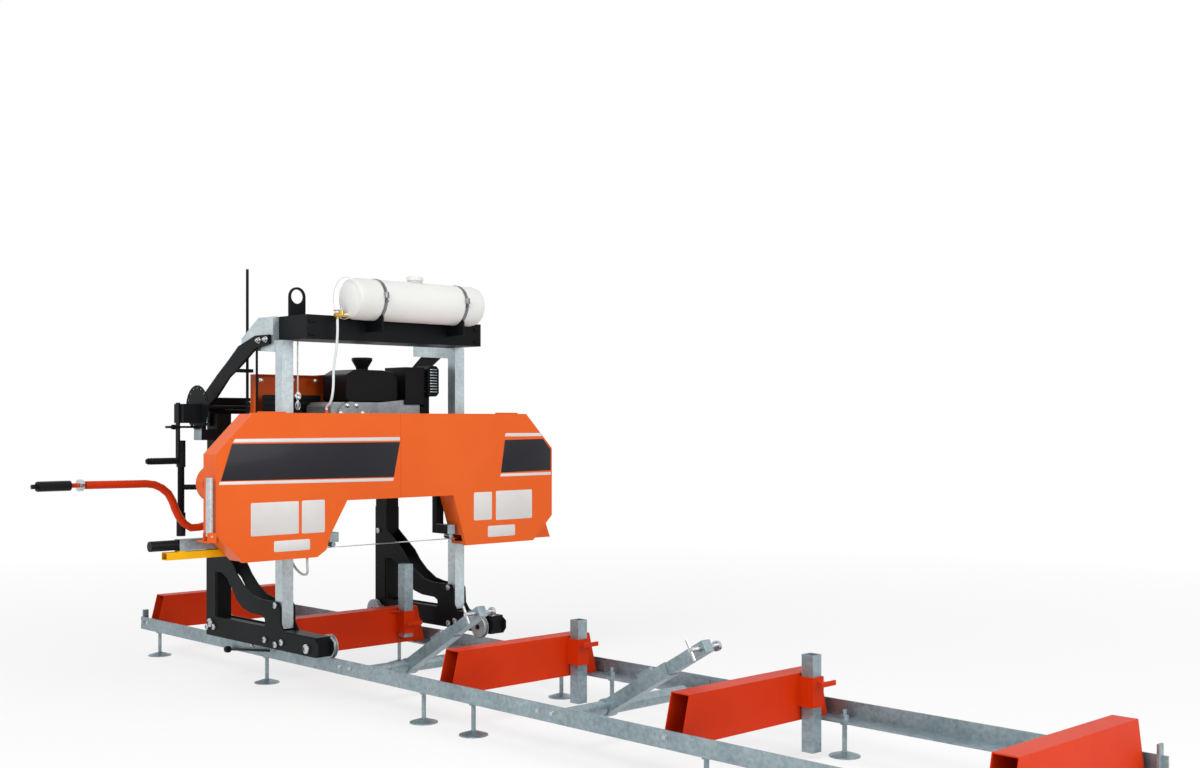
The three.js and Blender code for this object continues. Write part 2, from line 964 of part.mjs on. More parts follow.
const tankMiddle = 40;
const tankX = -700;
const tankClear = 1.64;
const tankRise = Math.sqrt((tankDiameter / 2) ** 2 - (tankX - beam.front) ** 2);
const tankHeight = beam.top + tankRise + tankClear;
const tank = {
  x: tankX,
  from: tankMiddle - tankLength / 2,
  to: tankMiddle + tankLength / 2,
  radius: tankDiameter / 2,
  height: tankHeight,
  domeLong: 40,
  domeRise: 7,
  domeTurn: 21,
  domeEdge: 55,
  domeShoulder: 76,
  saddles: [-152, 248],
  saddleWide: 8,
  saddleTop: beam.top,
  saddleTall: 59,
  saddleFront: -640,
  neckRadius: 26,
  neckAt: 45,
  capRadius: 33,
  capBottom: tankHeight + 87,
  capTop: tankHeight + 105,
  sides: 28,
};
const saddleAt = (y) =>
  block(
    beam.front - beam.wall / 2, tank.saddleFront,
    y - tank.saddleWide / 2, y + tank.saddleWide / 2, tank.saddleTop - tank.saddleTall, tank.saddleTop,
  );

addPart(
  "top_beam",
  shape(
    [
      ...tank.saddles.map(saddleAt),
      block(beam.back, beam.front, -beam.reach, beam.reach, beam.bottom, beam.top),
      block(
        beam.eyeAt, beam.eyeAt + beam.eyeThick,
        beam.eyeAcross - beam.eyeOuter, beam.eyeAcross + beam.eyeOuter,
        beam.top - beam.wall, beam.eyeHeight,
      ),
      disc(
        "x", [beam.eyeAcross, beam.eyeHeight], beam.eyeOuter,
        beam.eyeAt, beam.eyeAt + beam.eyeThick, beam.eyeSides,
      ),
    ],
    [
      block(
        beam.back + beam.wall, beam.front - beam.wall,
        -beam.reach + beam.capThick, beam.reach + fit,
        beam.bottom + beam.wall, beam.top - beam.wall,
      ),
      disc(
        "x", [beam.eyeAcross, beam.eyeHeight], beam.eyeHole,
        beam.eyeAt - fit, beam.eyeAt + beam.eyeThick + fit, beam.eyeSides,
      ),
      disc("y", [tank.height, tank.x], tank.radius + fit, -beam.reach, beam.reach, tank.sides),
    ],
  ),
  blackPaint,
);

const valve = {
  height: tankHeight - 67,
  radius: 9,
  from: tank.from - 48,
  to: tank.from + 36,
  barbAcross: tank.from - 36,
  barbRadius: 5,
  barbBottom: tankHeight - 83,
  seatRadius: 11,
  seatAcross: tank.from - 18,
  seatTop: tankHeight - 49,
  stemRadius: 4,
  stemTop: tankHeight - 37,
  leverLong: 48,
  leverHalf: 5,
  leverThick: 4,
  sides: 12,
};
addPart(
  "lube_tank",
  shape(
    [
      turned(
        "y",
        [tank.height, tank.x],
        [
          [0, tank.from],
          [tank.domeEdge, tank.from + tank.domeRise],
          [tank.domeShoulder, tank.from + tank.domeTurn],
          [tank.radius, tank.from + tank.domeLong],
          [tank.radius, tank.to - tank.domeLong],
          [tank.domeShoulder, tank.to - tank.domeTurn],
          [tank.domeEdge, tank.to - tank.domeRise],
          [0, tank.to],
        ],
        tank.sides,
      ),
      disc("z", [tank.x, tank.neckAt], tank.neckRadius, tank.height, tank.capBottom - fit, valve.sides),
      disc("y", [valve.height, tank.x], valve.radius, valve.from, valve.to, valve.sides),
      disc("z", [tank.x, valve.barbAcross], valve.barbRadius, valve.barbBottom, valve.height, valve.sides),
      disc("z", [tank.x, valve.seatAcross], valve.seatRadius, valve.height, valve.seatTop, valve.sides),
    ],
    [
      disc(
        "z", [tank.x, valve.seatAcross], boreFor(valve.stemRadius, valve.sides),
        valve.height, valve.seatTop + fit, valve.sides,
      ),
    ],
  ),
  tankWhite,
);
addPart(
  "tank_cap",
  shape([
    turned(
      "z",
      [tank.x, tank.neckAt],
      [
        [0, tank.capBottom],
        [tank.capRadius, tank.capBottom],
        [tank.capRadius, tank.capTop - valve.leverThick],
        [tank.capRadius - valve.leverThick, tank.capTop],
        [0, tank.capTop],
      ],
      tank.sides,
    ),
  ]),
  tankWhite,
);
addPart(
  "tank_valve",
  shape([
    disc(
      "z", [tank.x, valve.seatAcross], valve.stemRadius,
      valve.height + fit, valve.stemTop, valve.sides,
    ),
    block(
      tank.x - valve.leverLong, tank.x + valve.leverHalf,
      valve.seatAcross - valve.leverHalf, valve.seatAcross + valve.leverHalf,
      valve.seatTop + fit, valve.seatTop + fit + valve.leverThick,
    ),
  ]),
  brassGold,
);

addPart(
  "index_plate",
  shape(
    [
      disc(
        "y", [winch.height, winch.x], winch.discRadius,
        winch.discFrom, winch.discFrom + winch.discThick, winch.discSides,
      ),
    ],
    [
      shaftBore(winch.discFrom - fit, winch.discFrom + winch.discThick + fit),
      ...Array.from({ length: winch.holeCount }, (_, i) => {
        const angle = (2 * Math.PI * i) / winch.holeCount;
        const centre = [
          winch.height - winch.holeCircle * Math.cos(angle),
          winch.x + winch.holeCircle * Math.sin(angle),
        ];
        return disc(
          "y", centre, winch.holeRadius,
          winch.discFrom - fit, winch.discFrom + winch.discThick + fit, winch.holeSides,
        );
      }),
    ],
  ),
  blackPaint,
);

const winchDisc = (radius, from, to) => disc("y", [winch.height, winch.x], radius, from, to, winch.sides);
addPart(
  "winch_crank",
  shape(
    [
      winchDisc(winch.shaft, winch.armTo - fit, winch.shaftEnd),
      winchDisc(winch.drumCore, winch.drumFrom, winch.drumTo),
      winchDisc(winch.drumFlange, winch.drumFrom, winch.drumFrom + winch.flangeThick),
      winchDisc(winch.drumFlange, winch.drumTo - winch.flangeThick, winch.drumTo),
      block(
        winch.x - winch.hubHalf, winch.x + winch.hubHalf,
        winch.armTo - fit, winch.discFrom - fit * 2,
        winch.hubBottom, winch.hubTop,
      ),
      block(
        winch.x - winch.armHalf, winch.x + winch.armHalf,
        winch.armFrom, winch.armTo, winch.armBottom, winch.armTop,
      ),
      disc("y", [winch.gripAt, winch.x], winch.pinRadius, winch.pinEnd, winch.armTo - fit, winch.sides),
      disc("y", [winch.gripAt, winch.x], winch.pinHead, winch.pinEnd, winch.gripFrom - fit, winch.sides),
    ],
    [
      disc(
        "y", [winch.indexHeight, winch.x], winch.holeRadius + fit,
        winch.armFrom - fit, winch.discFrom - fit, winch.holeSides,
      ),
    ],
  ),
  blackPaint,
);
addPart(
  "crank_grip",
  shape(
    [disc("y", [winch.gripAt, winch.x], winch.gripRadius, winch.gripFrom, winch.gripTo, winch.sides)],
    [
      disc(
        "y", [winch.gripAt, winch.x], boreFor(winch.pinRadius, winch.sides),
        winch.gripFrom - fit, winch.gripTo + fit, winch.sides,
      ),
    ],
  ),
  blackPlastic,
);

const indexPinStandOff = 7;
const indexPin = {
  radius: 4.4,
  tip: winch.discFrom - fit * 3,
  collarRadius: 10,
  collarFrom: -644,
  collarTo: winch.armFrom - indexPinStandOff,
  leverEnd: -656,
  leverRadius: 5,
  leverAcross: -647,
  leverReach: 44,
};
addPart(
  "index_pin",
  shape([
    disc("y", [winch.indexHeight, winch.x], indexPin.radius, indexPin.leverEnd, indexPin.tip, winch.holeSides),
    disc(
      "y", [winch.indexHeight, winch.x], indexPin.collarRadius,
      indexPin.collarFrom, indexPin.collarTo, winch.sides,
    ),
    rod(
      [winch.x, indexPin.leverAcross, winch.indexHeight],
      [winch.x - indexPin.leverReach, indexPin.leverAcross, winch.indexHeight],
      indexPin.leverRadius, foot.sides,
    ),
  ]),
  blackPaint,
);

addPart(
  "push_bar",
  shape([
    bentRod(pushPath, push.radius, push.sides, push.steps),
    disc("y", [push.height, push.x], push.capNeck, push.gripFrom - push.ringRadius, push.coreTo, push.sides),
    disc("y", [push.height, push.x], push.gripRadius, push.gripFrom, push.gripTo, push.sides),
    disc("y", [push.height, push.x], push.ringRadius, push.ringFrom, push.ringTo, push.sides),
    block(
      pushPath[0][0] - push.flangeHalf + push.radius, pushPath[0][0] + push.flangeHalf,
      -frame.outer - fit - push.flangeThick, -frame.outer - fit,
      pushPath[0][2] - push.flangeHalf, pushPath[0][2] + push.flangeHalf,
    ),
  ]),
  frameOrange,
);

addPart(
  "handle_post",
  shape([
    disc("z", [handle.x, handle.across], handle.radius, handle.bottom, handle.top, handle.sides),
    disc("z", [handle.x, handle.across], handle.foamRadius, handle.upperFrom, handle.upperTo, handle.sides),
    disc("z", [handle.x, handle.across], handle.foamRadius, handle.lowerFrom, handle.lowerTo, handle.sides),
    rod(
      [handle.x, handle.across, handle.stubHeight],
      [handle.stubX, -brace.inner - handle.stubRadius, handle.stubHeight],
      handle.stubRadius, handle.sides,
    ),
    block(
      handle.stubX - handle.stubRadius * 2, handle.stubX + handle.stubRadius * 2,
      -brace.inner - handle.stubRadius, -brace.inner,
      handle.stubHeight - handle.stubRadius * 2, handle.stubHeight + handle.stubRadius * 2,
    ),
  ]),
  foamBlack,
);

const cover = {
  back: -833,
  plateThick: 3,
  wallInset: 3.5,
  wallThick: 2.5,
  wallFront: -738,
  doorThick: 3,
  lipBack: -752,
  lipThick: 2,
  seam: 0.5,
  slotBack: -810,
  slotBottom: 566,
  slotTop: 592,
  slotFrom: 300,
  slotTo: 380,
  hingeX: -757,
  hingeRadius: 4,
  hingeSeat: 1095,
  hingeLift: 1.4,
  hingeLong: 120,
  knuckleLong: 44,
  pinRadius: 2.2,
  hingeAcross: [-575, 575],
  hole: 24,
  barbRadius: 5,
  barbX: -785,
  barbAcross: -315,
  barbTop: 1114,
  drainX: -790,
  drainAcross: -400,
  drainBottom: 541,
  chuteBack: -806,
  chuteThick: 3,
};
cover.hingeHeight = coverTop + cover.hingeLift;

// (Y, Z) outline of the closed cover, anticlockwise from the near bottom corner.
const corner = {
  lowerIn: 110,
  lowerUp: 105,
  upperIn: 150,
  upperDown: 150,
};
const coverOutline = [
  [corner.lowerIn - coverWidth / 2, coverBottom],
  [throatFrom - 136, coverBottom],
  [throatFrom - 96, coverBottom + 25],
  [throatFrom - 76, coverBottom + 83],
  [throatFrom, throatTop],
  [throatFrom + throatWidth, throatTop],
  [throatFrom + throatWidth + 67, coverBottom],
  [coverWidth / 2 - corner.lowerIn, coverBottom],
  [coverWidth / 2, coverBottom + corner.lowerUp],
  [coverWidth / 2, coverTop - corner.upperDown],
  [coverWidth / 2 - corner.upperIn, coverTop],
  [corner.upperIn - coverWidth / 2, coverTop],
  [-coverWidth / 2, coverTop - corner.upperDown],
  [-coverWidth / 2, coverBottom + corner.lowerUp],
];
// (Y, Z) outline of the plate that turns the sawdust outwards.
const chuteOutline = [
  [coverWidth / 2 - corner.lowerIn - 2, coverBottom + 3],
  [coverWidth / 2 + 51, coverBottom + 2],
  [coverWidth / 2 + 13, coverBottom + 98],
  [coverWidth / 2 - 1, coverBottom + 150],
  [coverWidth / 2 - 6, coverBottom + corner.lowerUp],
];

const bandLift = 1.5;
const bandSeat = 0.6;
const bandThick = 1.1;
const wheel = {
  centre: wheelSpacing / 2,
  height: bandHeight + wheelDiameter / 2 + bandLift,
  radius: wheelDiameter / 2 - bandSeat,
  back: -800,
  front: -764,
  rimInner: 222,
  webBack: -786,
  webFront: -778,
  hub: 34,
  hubFront: -756,
  hubBack: -806,
  sides: 40,
  lightening: 5,
  lighteningRadius: 42,
  lighteningCircle: 130,
  lighteningSides: 8,
};

const shaft = {
  radius: 15,
  front: -750,
  sides: 20,
};

const pulley = {
  back: -1262,
  front: -1234,
  beltBack: -1255,
  beltFront: -1242,
  driven: 62,
  drivenGroove: 54,
  engine: 38,
  engineGroove: 30,
  beltDeep: 9,
  beltLift: 0.1,
  sides: 24,
};

const engineBase = 998;
const aboveBase = (rise) => engineBase + rise;
const engine = {
  across: -40,
  shaftHeight: aboveBase(119),
  base: engineBase,
  back: -1190,
  front: -1010,
  shaftRadius: 12,
  shaftDeep: 30,
  coverRadius: 70,
  coverAcross: -60,
  coverHeight: aboveBase(82),
  coverFront: -990,
  shroudBack: -1150,
  shroudFront: -1000,
  shroudFrom: 218,
  shroudTo: 318,
  shroudBottom: aboveBase(142),
  shroudTop: aboveBase(302),
  footReach: 26,
  footTall: 12,
};

const head = {
  sleeveBack: -972,
  sleeveFront: -858,
  sleeveWall: 10,
  sleeveBottom: 680,
  sleeveTop: 1080,
  beamBack: -866,
  beamFrom: -760,
  beamTo: 720,
  beamBottom: 775,
  beamTop: 865,
  beamWall: 4,
  deckBack: -1206,
  deckThick: 12,
  deckReach: 394,
  bossRadius: 32,
  bossBack: -905,
  guideFrom: -600,
  guideTo: -520,
  lugBack: -925,
  lugFront: -905,
  lugInner: 352,
  lugTop: 1112,
  lugTall: 50,
  eyeRadius: 8,
  rodArmTall: 12,
  rodArmFrom: -405,
  tensionX: -905,
  tensionFrom: 690,
};
head.front = cover.back - fit;
head.deckTop = engine.base - fit;

const guide = {
  blockFrom: 258,
  blockTo: 296,
  blockBottom: 600,
  blockTop: 638,
  blockFront: -760,
  rollerRadius: 10,
  rollerBack: -800,
  rollerFront: -764,
  rollerClear: 2,
  sides: 16,
};
guide.rollerHeight = bandHeight + guide.rollerRadius + guide.rollerClear;

const arm = {
  back: -878,
  front: -838,
  bottom: 600,
  top: 640,
  wall: 3,
  from: -905,
  to: -300,
  gripTo: -1012,
  gripRadius: 19,
  blockFrom: -318,
  blockTo: -276,
  bracketBack: -886,
  bracketDrop: 3.4,
};

const guard = {
  bottom: 568,
  top: 595.5,
  from: -955,
  to: -300,
  postLong: 24,
  wall: 3,
};

const beltGuard = {
  back: -1272,
  front: -1215,
  wall: 2.5,
  drivenRadius: 76,
  engineRadius: 150,
  flatFrom: -366,
  flatTop: aboveBase(264),
  sides: 28,
  tabFront: -1150,
  tabFrom: 40,
  tabTo: 80,
  tabThick: 6,
};

const coverBodies = [
  prism("x", inset(coverOutline, cover.wallInset), cover.back, cover.wallFront),
  prism("x", chuteOutline, cover.chuteBack, cover.chuteBack + cover.chuteThick),
  disc(
    "z", [cover.barbX, cover.barbAcross], cover.barbRadius,
    coverTop - cover.wallInset - fit, cover.barbTop, valve.sides,
  ),
  disc(
    "z", [cover.drainX, cover.drainAcross], cover.barbRadius,
    cover.drainBottom, coverBottom + cover.wallInset + fit, valve.sides,
  ),
];
for (const y of cover.hingeAcross) {
  const from = y - cover.hingeLong / 2;
  const to = y + cover.hingeLong / 2;
  coverBodies.push(
    disc("y", [cover.hingeHeight, cover.hingeX], cover.pinRadius, from, to, valve.sides),
  );
  const half = cover.knuckleLong / 2 + fit;
  for (const [start, end] of [[from, y - half], [y + half, to]]) {
    coverBodies.push(
      disc("y", [cover.hingeHeight, cover.hingeX], cover.hingeRadius, start, end, valve.sides),
      block(
        cover.hingeX - cover.hingeRadius, cover.hingeX + cover.hingeRadius,
        start, end, cover.hingeSeat, cover.hingeHeight,
      ),
    );
  }
}
const coverSide = -coverWidth / 2;
const lever = {
  x: -740,
  across: coverSide - 23,
  bottom: 655,
  top: 867,
  radius: 13,
  eyeRadius: 9,
  plateBottom: 632,
  plateTop: 638,
  plateInner: coverSide + 37,
  plateOuter: coverSide - 39,
  plateBack: -800,
  plateFront: -722,
  plateSplit: -756,
  earThick: 5,
  earTop: 668,
  pinRadius: 4,
  sides: 14,
};
coverBodies.push(
  block(lever.plateBack, lever.plateSplit, lever.plateOuter, lever.plateInner, lever.plateBottom, lever.plateTop),
  block(
    lever.plateBack, lever.plateFront,
    lever.plateOuter, coverSide - lever.earThick,
    lever.plateBottom, lever.plateTop,
  ),
);
for (const x of [lever.x - lever.radius - lever.earThick - fit, lever.x + lever.radius + fit]) {
  coverBodies.push(
    block(x, x + lever.earThick, lever.plateOuter, coverSide - lever.earThick, lever.plateTop - fit, lever.earTop),
  );
}
const leverPin = disc(
  "x", [lever.across, lever.bottom], boreFor(lever.pinRadius, lever.sides),
  lever.plateBack, lever.plateFront + fit, lever.sides,
);
addPart(
  "cover_back",
  shape(coverBodies, [
    prism(
      "x", inset(coverOutline, cover.wallInset + cover.wallThick),
      cover.back + cover.plateThick, cover.wallFront + fit,
    ),
    ...[-1, 1].map((side) =>
      disc(
        "x", [side * wheel.centre, wheel.height], cover.hole,
        cover.back - fit, cover.back + cover.plateThick + fit, shaft.sides,
      ),
    ),
    ...[-1, 1].map((side) =>
      block(
        cover.slotBack, cover.wallFront + fit,
        side * cover.slotFrom, side * cover.slotTo, cover.slotBottom, cover.slotTop,
      ),
    ),
    leverPin,
  ]),
  coverOrange,
);
addPart(
  "lock_lever",
  shape([
    disc("z", [lever.x, lever.across], lever.radius, lever.bottom, lever.top, lever.sides),
    disc(
      "x", [lever.across, lever.bottom], lever.eyeRadius,
      lever.x - lever.radius, lever.x + lever.radius, lever.sides,
    ),
    disc(
      "x", [lever.across, lever.bottom], lever.pinRadius,
      lever.x - lever.radius - lever.earThick, lever.x + lever.radius + lever.earThick, lever.sides,
    ),
  ]),
  brightSteel,
);

const doors = prism("x", coverOutline, cover.lipBack, coverFront).subtract(
  prism("x", inset(coverOutline, cover.lipThick), cover.lipBack - fit, coverFront - cover.doorThick),
);
const halfSpace = (from, to) =>
  block(cover.lipBack - coverWidth, coverFront + coverWidth, from, to, 0, coverWidth);
// One knuckle turns on the cover's hinge pin.
function hungDoor(panel, y) {
  const from = y - cover.knuckleLong / 2;
  const to = y + cover.knuckleLong / 2;
  return shape(
    [
      panel,
      disc("y", [cover.hingeHeight, cover.hingeX], cover.hingeRadius, from, to, valve.sides),
      block(cover.hingeX, cover.lipBack + fit, from, to, coverTop - cover.lipThick, coverTop),
    ],
    [
      disc(
        "y", [cover.hingeHeight, cover.hingeX], boreFor(cover.pinRadius, valve.sides),
        from - fit, to + fit, valve.sides,
      ),
    ],
  );
}
const panels = [halfSpace(-coverWidth, -cover.seam), halfSpace(cover.seam, coverWidth)];
panels.forEach((space, i) => {
  addPart(`door_${["left", "right"][i]}`, hungDoor(doors.intersect(space), cover.hingeAcross[i]), coverOrange);
});

const wheelProfile = (bore) => [
  [bore, wheel.hubBack],
  [wheel.hub, wheel.hubBack],
  [wheel.hub, wheel.webBack],
  [wheel.rimInner, wheel.webBack],
  [wheel.rimInner, wheel.back],
  [wheel.radius, wheel.back],
  [wheel.radius, wheel.front],
  [wheel.rimInner, wheel.front],
  [wheel.rimInner, wheel.webFront],
  [wheel.hub, wheel.webFront],
  [wheel.hub, wheel.hubFront],
  [bore, wheel.hubFront],
];
const wheelHoles = (y) =>
  Array.from({ length: wheel.lightening }, (_, i) => {
    const angle = (2 * Math.PI * i) / wheel.lightening;
    const centre = [
      y + wheel.lighteningCircle * Math.cos(angle),
      wheel.height + wheel.lighteningCircle * Math.sin(angle),
    ];
    return disc("x", centre, wheel.lighteningRadius, wheel.back, wheel.front, wheel.lighteningSides);
  });
const pulleyProfile = (outer, groove) => [
  [0, pulley.back],
  [outer, pulley.back],
  [outer, pulley.beltBack - fit * 2],
  [groove, pulley.beltBack - fit],
  [groove, pulley.beltFront + fit],
  [outer, pulley.beltFront + fit * 2],
  [outer, pulley.front],
  [0, pulley.front],
];
addPart(
  "drive_wheel",
  shape(
    [
      turned("x", [-wheel.centre, wheel.height], wheelProfile(0), wheel.sides),
      disc("x", [-wheel.centre, wheel.height], shaft.radius, pulley.front - fit, shaft.front, shaft.sides),
      turned("x", [-wheel.centre, wheel.height], pulleyProfile(pulley.driven, pulley.drivenGroove), pulley.sides),
    ],
    wheelHoles(-wheel.centre),
  ),
  castGrey,
);
addPart(
  "idler_wheel",
  shape(
    [
      turned(
        "x", [wheel.centre, wheel.height],
        [...wheelProfile(boreFor(shaft.radius, shaft.sides)), [boreFor(shaft.radius, shaft.sides), wheel.hubBack]],
        wheel.sides,
      ),
    ],
    wheelHoles(wheel.centre),
  ),
  castGrey,
);

const bandLoop = (radius) =>
  hull([
    ...circle([-wheel.centre, wheel.height], radius, wheel.sides),
    ...circle([wheel.centre, wheel.height], radius, wheel.sides),
  ]);
const bandCentre = (wheel.back + wheel.front) / 2;
const bandOuter = wheel.height - bandHeight;
const bandInner = bandOuter - bandThick;
addPart(
  "saw_band",
  prism("x", bandLoop(bandOuter), bandCentre - bandWidth / 2, bandCentre + bandWidth / 2).subtract(
    prism("x", bandLoop(bandInner), bandCentre - bandWidth, bandCentre + bandWidth),
  ),
  brightSteel,
);

const beltLoop = (extra) =>
  hull([
    ...circle([-wheel.centre, wheel.height], boreFor(pulley.drivenGroove + extra, pulley.sides), pulley.sides),
    ...circle([engine.across, engine.shaftHeight], boreFor(pulley.engineGroove + extra, pulley.sides), pulley.sides),
  ]);
addPart(
  "drive_belt",
  prism("x", beltLoop(pulley.beltLift + pulley.beltDeep), pulley.beltBack, pulley.beltFront).subtract(
    prism("x", beltLoop(pulley.beltLift), pulley.beltBack - fit, pulley.beltFront + fit),
  ),
  beltRubber,
);
addPart(
  "engine_pulley",
  shape([
    turned("x", [engine.across, engine.shaftHeight], pulleyProfile(pulley.engine, pulley.engineGroove), pulley.sides),
    disc(
      "x", [engine.across, engine.shaftHeight], engine.shaftRadius,
      pulley.front - fit, engine.back + engine.shaftDeep, shaft.sides,
    ),
  ]),
  castGrey,
);

const guardLoop = (less) =>
  hull([
    ...circle([-wheel.centre, wheel.height], beltGuard.drivenRadius - less, beltGuard.sides),
    ...circle([engine.across, engine.shaftHeight], beltGuard.engineRadius - less, beltGuard.sides),
  ]);
const guardBody = (less, from, to) => [
  prism("x", guardLoop(less), from, to),
  block(
    from, to, beltGuard.flatFrom + less, engine.across,
    wheel.height + less, beltGuard.flatTop - less,
  ),
];
addPart(
  "belt_guard",
  shape(
    [
      ...guardBody(0, beltGuard.back, beltGuard.front),
      block(
        beltGuard.front - beltGuard.wall, beltGuard.tabFront,
        beltGuard.tabFrom, beltGuard.tabTo,
        head.deckTop - head.deckThick - fit - beltGuard.tabThick, head.deckTop - head.deckThick - fit,
      ),
      block(
        beltGuard.front - beltGuard.tabThick, beltGuard.front,
        beltGuard.tabFrom, beltGuard.tabTo,
        head.deckTop - head.deckThick - fit - beltGuard.tabThick, head.deckTop,
      ),
    ],
    guardBody(beltGuard.wall, beltGuard.back + beltGuard.wall, beltGuard.front + fit),
  ),
  frameOrange,
);

const sleeveParts = [];
const sleeveCuts = [];
for (const side of [-1, 1]) {
  const [from, to] = spanY(side, frame.inner, frame.outer);
  const [holeFrom, holeTo] = spanY(side, frame.postInner - fit, frame.postOuter + fit);
  sleeveParts.push(block(head.sleeveBack, head.sleeveFront, from, to, head.sleeveBottom, head.sleeveTop));
  sleeveCuts.push(
    block(
      post.back - fit, post.front + fit, holeFrom, holeTo,
      head.sleeveBottom - fit, head.sleeveTop + fit,
    ),
    block(
      head.sleeveBack + head.sleeveWall, post.back, holeFrom, holeTo,
      head.sleeveBottom - fit, head.sleeveTop + fit,
    ),
  );
}
addPart(
  "head_frame",
  shape(
    [
      block(head.beamBack, head.front, head.beamFrom, head.beamTo, head.beamBottom, head.beamTop),
      ...sleeveParts,
      block(
        head.deckBack, head.beamBack, -head.deckReach, head.deckReach,
        head.deckTop - head.deckThick, head.deckTop,
      ),
      block(
        head.sleeveFront - head.sleeveWall, head.sleeveFront,
        -head.deckReach, head.deckReach, head.beamTop - head.beamWall, head.deckTop,
      ),
      disc(
        "x", [-wheel.centre, wheel.height], head.bossRadius,
        head.bossBack, head.front, shaft.sides,
      ),
      disc(
        "x", [wheel.centre, wheel.height], shaft.radius,
        head.beamBack, shaft.front, shaft.sides,
      ),
      block(
        arm.bracketBack, head.front, head.guideFrom, head.guideTo,
        arm.bottom - arm.bracketDrop, head.beamBottom + head.beamWall,
      ),
      block(
        head.beamBack, head.front - head.beamWall, guide.blockFrom, guide.blockTo,
        guide.blockBottom, head.beamBottom + head.beamWall,
      ),
      block(
        head.beamBack, guide.blockFront, guide.blockFrom, guide.blockTo,
        guide.blockBottom, guide.blockTop,
      ),
      disc(
        "x", [(guide.blockFrom + guide.blockTo) / 2, guide.rollerHeight], guide.rollerRadius,
        guide.rollerBack, guide.rollerFront, guide.sides,
      ),
      block(
        head.tensionX - head.bossRadius, head.beamBack + head.beamWall,
        head.tensionFrom, head.beamTo, wheel.height - head.bossRadius, wheel.height + head.bossRadius,
      ),
      block(
        head.lugBack, head.lugFront, -frame.inner - head.beamWall, -head.lugInner,
        head.lugTop - head.lugTall, head.lugTop,
      ),
      block(
        guideRod.x - guideRod.radius * 2, head.sleeveBack + head.beamWall,
        head.rodArmFrom, -frame.inner, head.sleeveTop - head.rodArmTall, head.sleeveTop,
      ),
      disc(
        "z", [guideRod.x, guideRod.across], guideRod.radius,
        guideRod.bottom, guideRod.top, guideRod.sides,
      ),
    ],
    [
      ...sleeveCuts,
      disc(
        "x", [-wheel.centre, wheel.height], boreFor(shaft.radius, shaft.sides),
        head.bossBack - fit, head.front + fit, shaft.sides,
      ),
      block(
        arm.back - fit, arm.front + fit,
        head.guideFrom - fit, head.guideTo + fit,
        arm.bottom - fit, arm.top + fit,
      ),
      disc(
        "y", [wheel.height, head.tensionX], boreFor(shaft.radius / 2, valve.sides),
        head.tensionFrom - fit, head.beamTo + fit, valve.sides,
      ),
      disc(
        "y", [head.lugTop - head.rodArmTall, (head.lugBack + head.lugFront) / 2], head.eyeRadius / 2,
        -frame.inner, -head.lugInner + fit, foot.sides,
      ),
    ],
  ),
  blackPaint,
);

const armCentre = [(arm.bottom + arm.top) / 2, (arm.back + arm.front) / 2];
addPart(
  "guide_arm",
  shape(
    [
      block(arm.back, arm.front, arm.from, arm.to, arm.bottom, arm.top).subtract(
        block(
          arm.back + arm.wall, arm.front - arm.wall, arm.from + arm.wall, arm.blockFrom - arm.wall,
          arm.bottom + arm.wall, arm.top - arm.wall,
        ),
      ).add(block(arm.back, arm.front, arm.blockFrom, arm.blockTo, arm.bottom, arm.top)),
      disc("y", armCentre, arm.gripRadius, arm.gripTo, arm.from + arm.wall / 2, guide.sides),
      block(arm.front - arm.wall, guide.blockFront, arm.blockFrom, arm.blockTo, guide.blockBottom, guide.blockTop),
      disc(
        "x", [(arm.blockFrom + arm.blockTo) / 2, guide.rollerHeight], guide.rollerRadius,
        guide.rollerBack, guide.rollerFront, guide.sides,
      ),
    ],
    [
      block(
        arm.back + arm.wall, arm.front - arm.wall, arm.from + arm.gripRadius, arm.from + arm.gripRadius * 2,
        arm.bottom - fit, arm.bottom + arm.wall + fit,
      ),
    ],
  ),
  galvanised,
);
addPart(
  "blade_guard",
  shape(
    [
      block(arm.back, arm.front, guard.from, guard.to, guard.bottom, guard.top),
      block(arm.back, arm.front, arm.from, arm.from + guard.postLong, guard.top - fit, arm.bottom - fit),
      block(arm.back, arm.front, guard.to - guard.postLong, guard.to, guard.top - fit, arm.bottom - fit),
    ],
    [
      block(
        arm.back + guard.wall, arm.front - guard.wall, guard.from - fit, guard.to + fit,
        guard.bottom + guard.wall, guard.top - guard.wall,
      ),
    ],
  ),
  guardYellow,
);

// (Y, Z) outlines of the engine's crankcase with its inclined cylinder, and of its fuel tank.
const crankcaseEnd = 300;
const crankcaseOutline = [
  [-150, engine.base],
  [70, engine.base],
  [112, aboveBase(32)],
  [285, aboveBase(60)],
  [crankcaseEnd, aboveBase(77)],
  [crankcaseEnd, aboveBase(152)],
  [284, aboveBase(168)],
  [96, aboveBase(150)],
  [-130, aboveBase(150)],
  [-150, aboveBase(132)],
];
const fuelOutline = [
  [-60, aboveBase(164)],
  [-46, aboveBase(152)],
  [188, aboveBase(152)],
  [200, aboveBase(164)],
  [200, aboveBase(250)],
  [178, aboveBase(280)],
  [120, aboveBase(286)],
  [-20, aboveBase(286)],
  [-60, aboveBase(264)],
];
const fuel = {
  back: -1208,
  front: -1030,
  capX: -1100,
  capAcross: 65,
  capBase: 26,
  capTop: 44,
  baseHeight: aboveBase(278),
  waist: aboveBase(298),
  rim: aboveBase(328),
  top: aboveBase(340),
  sides: 20,
};
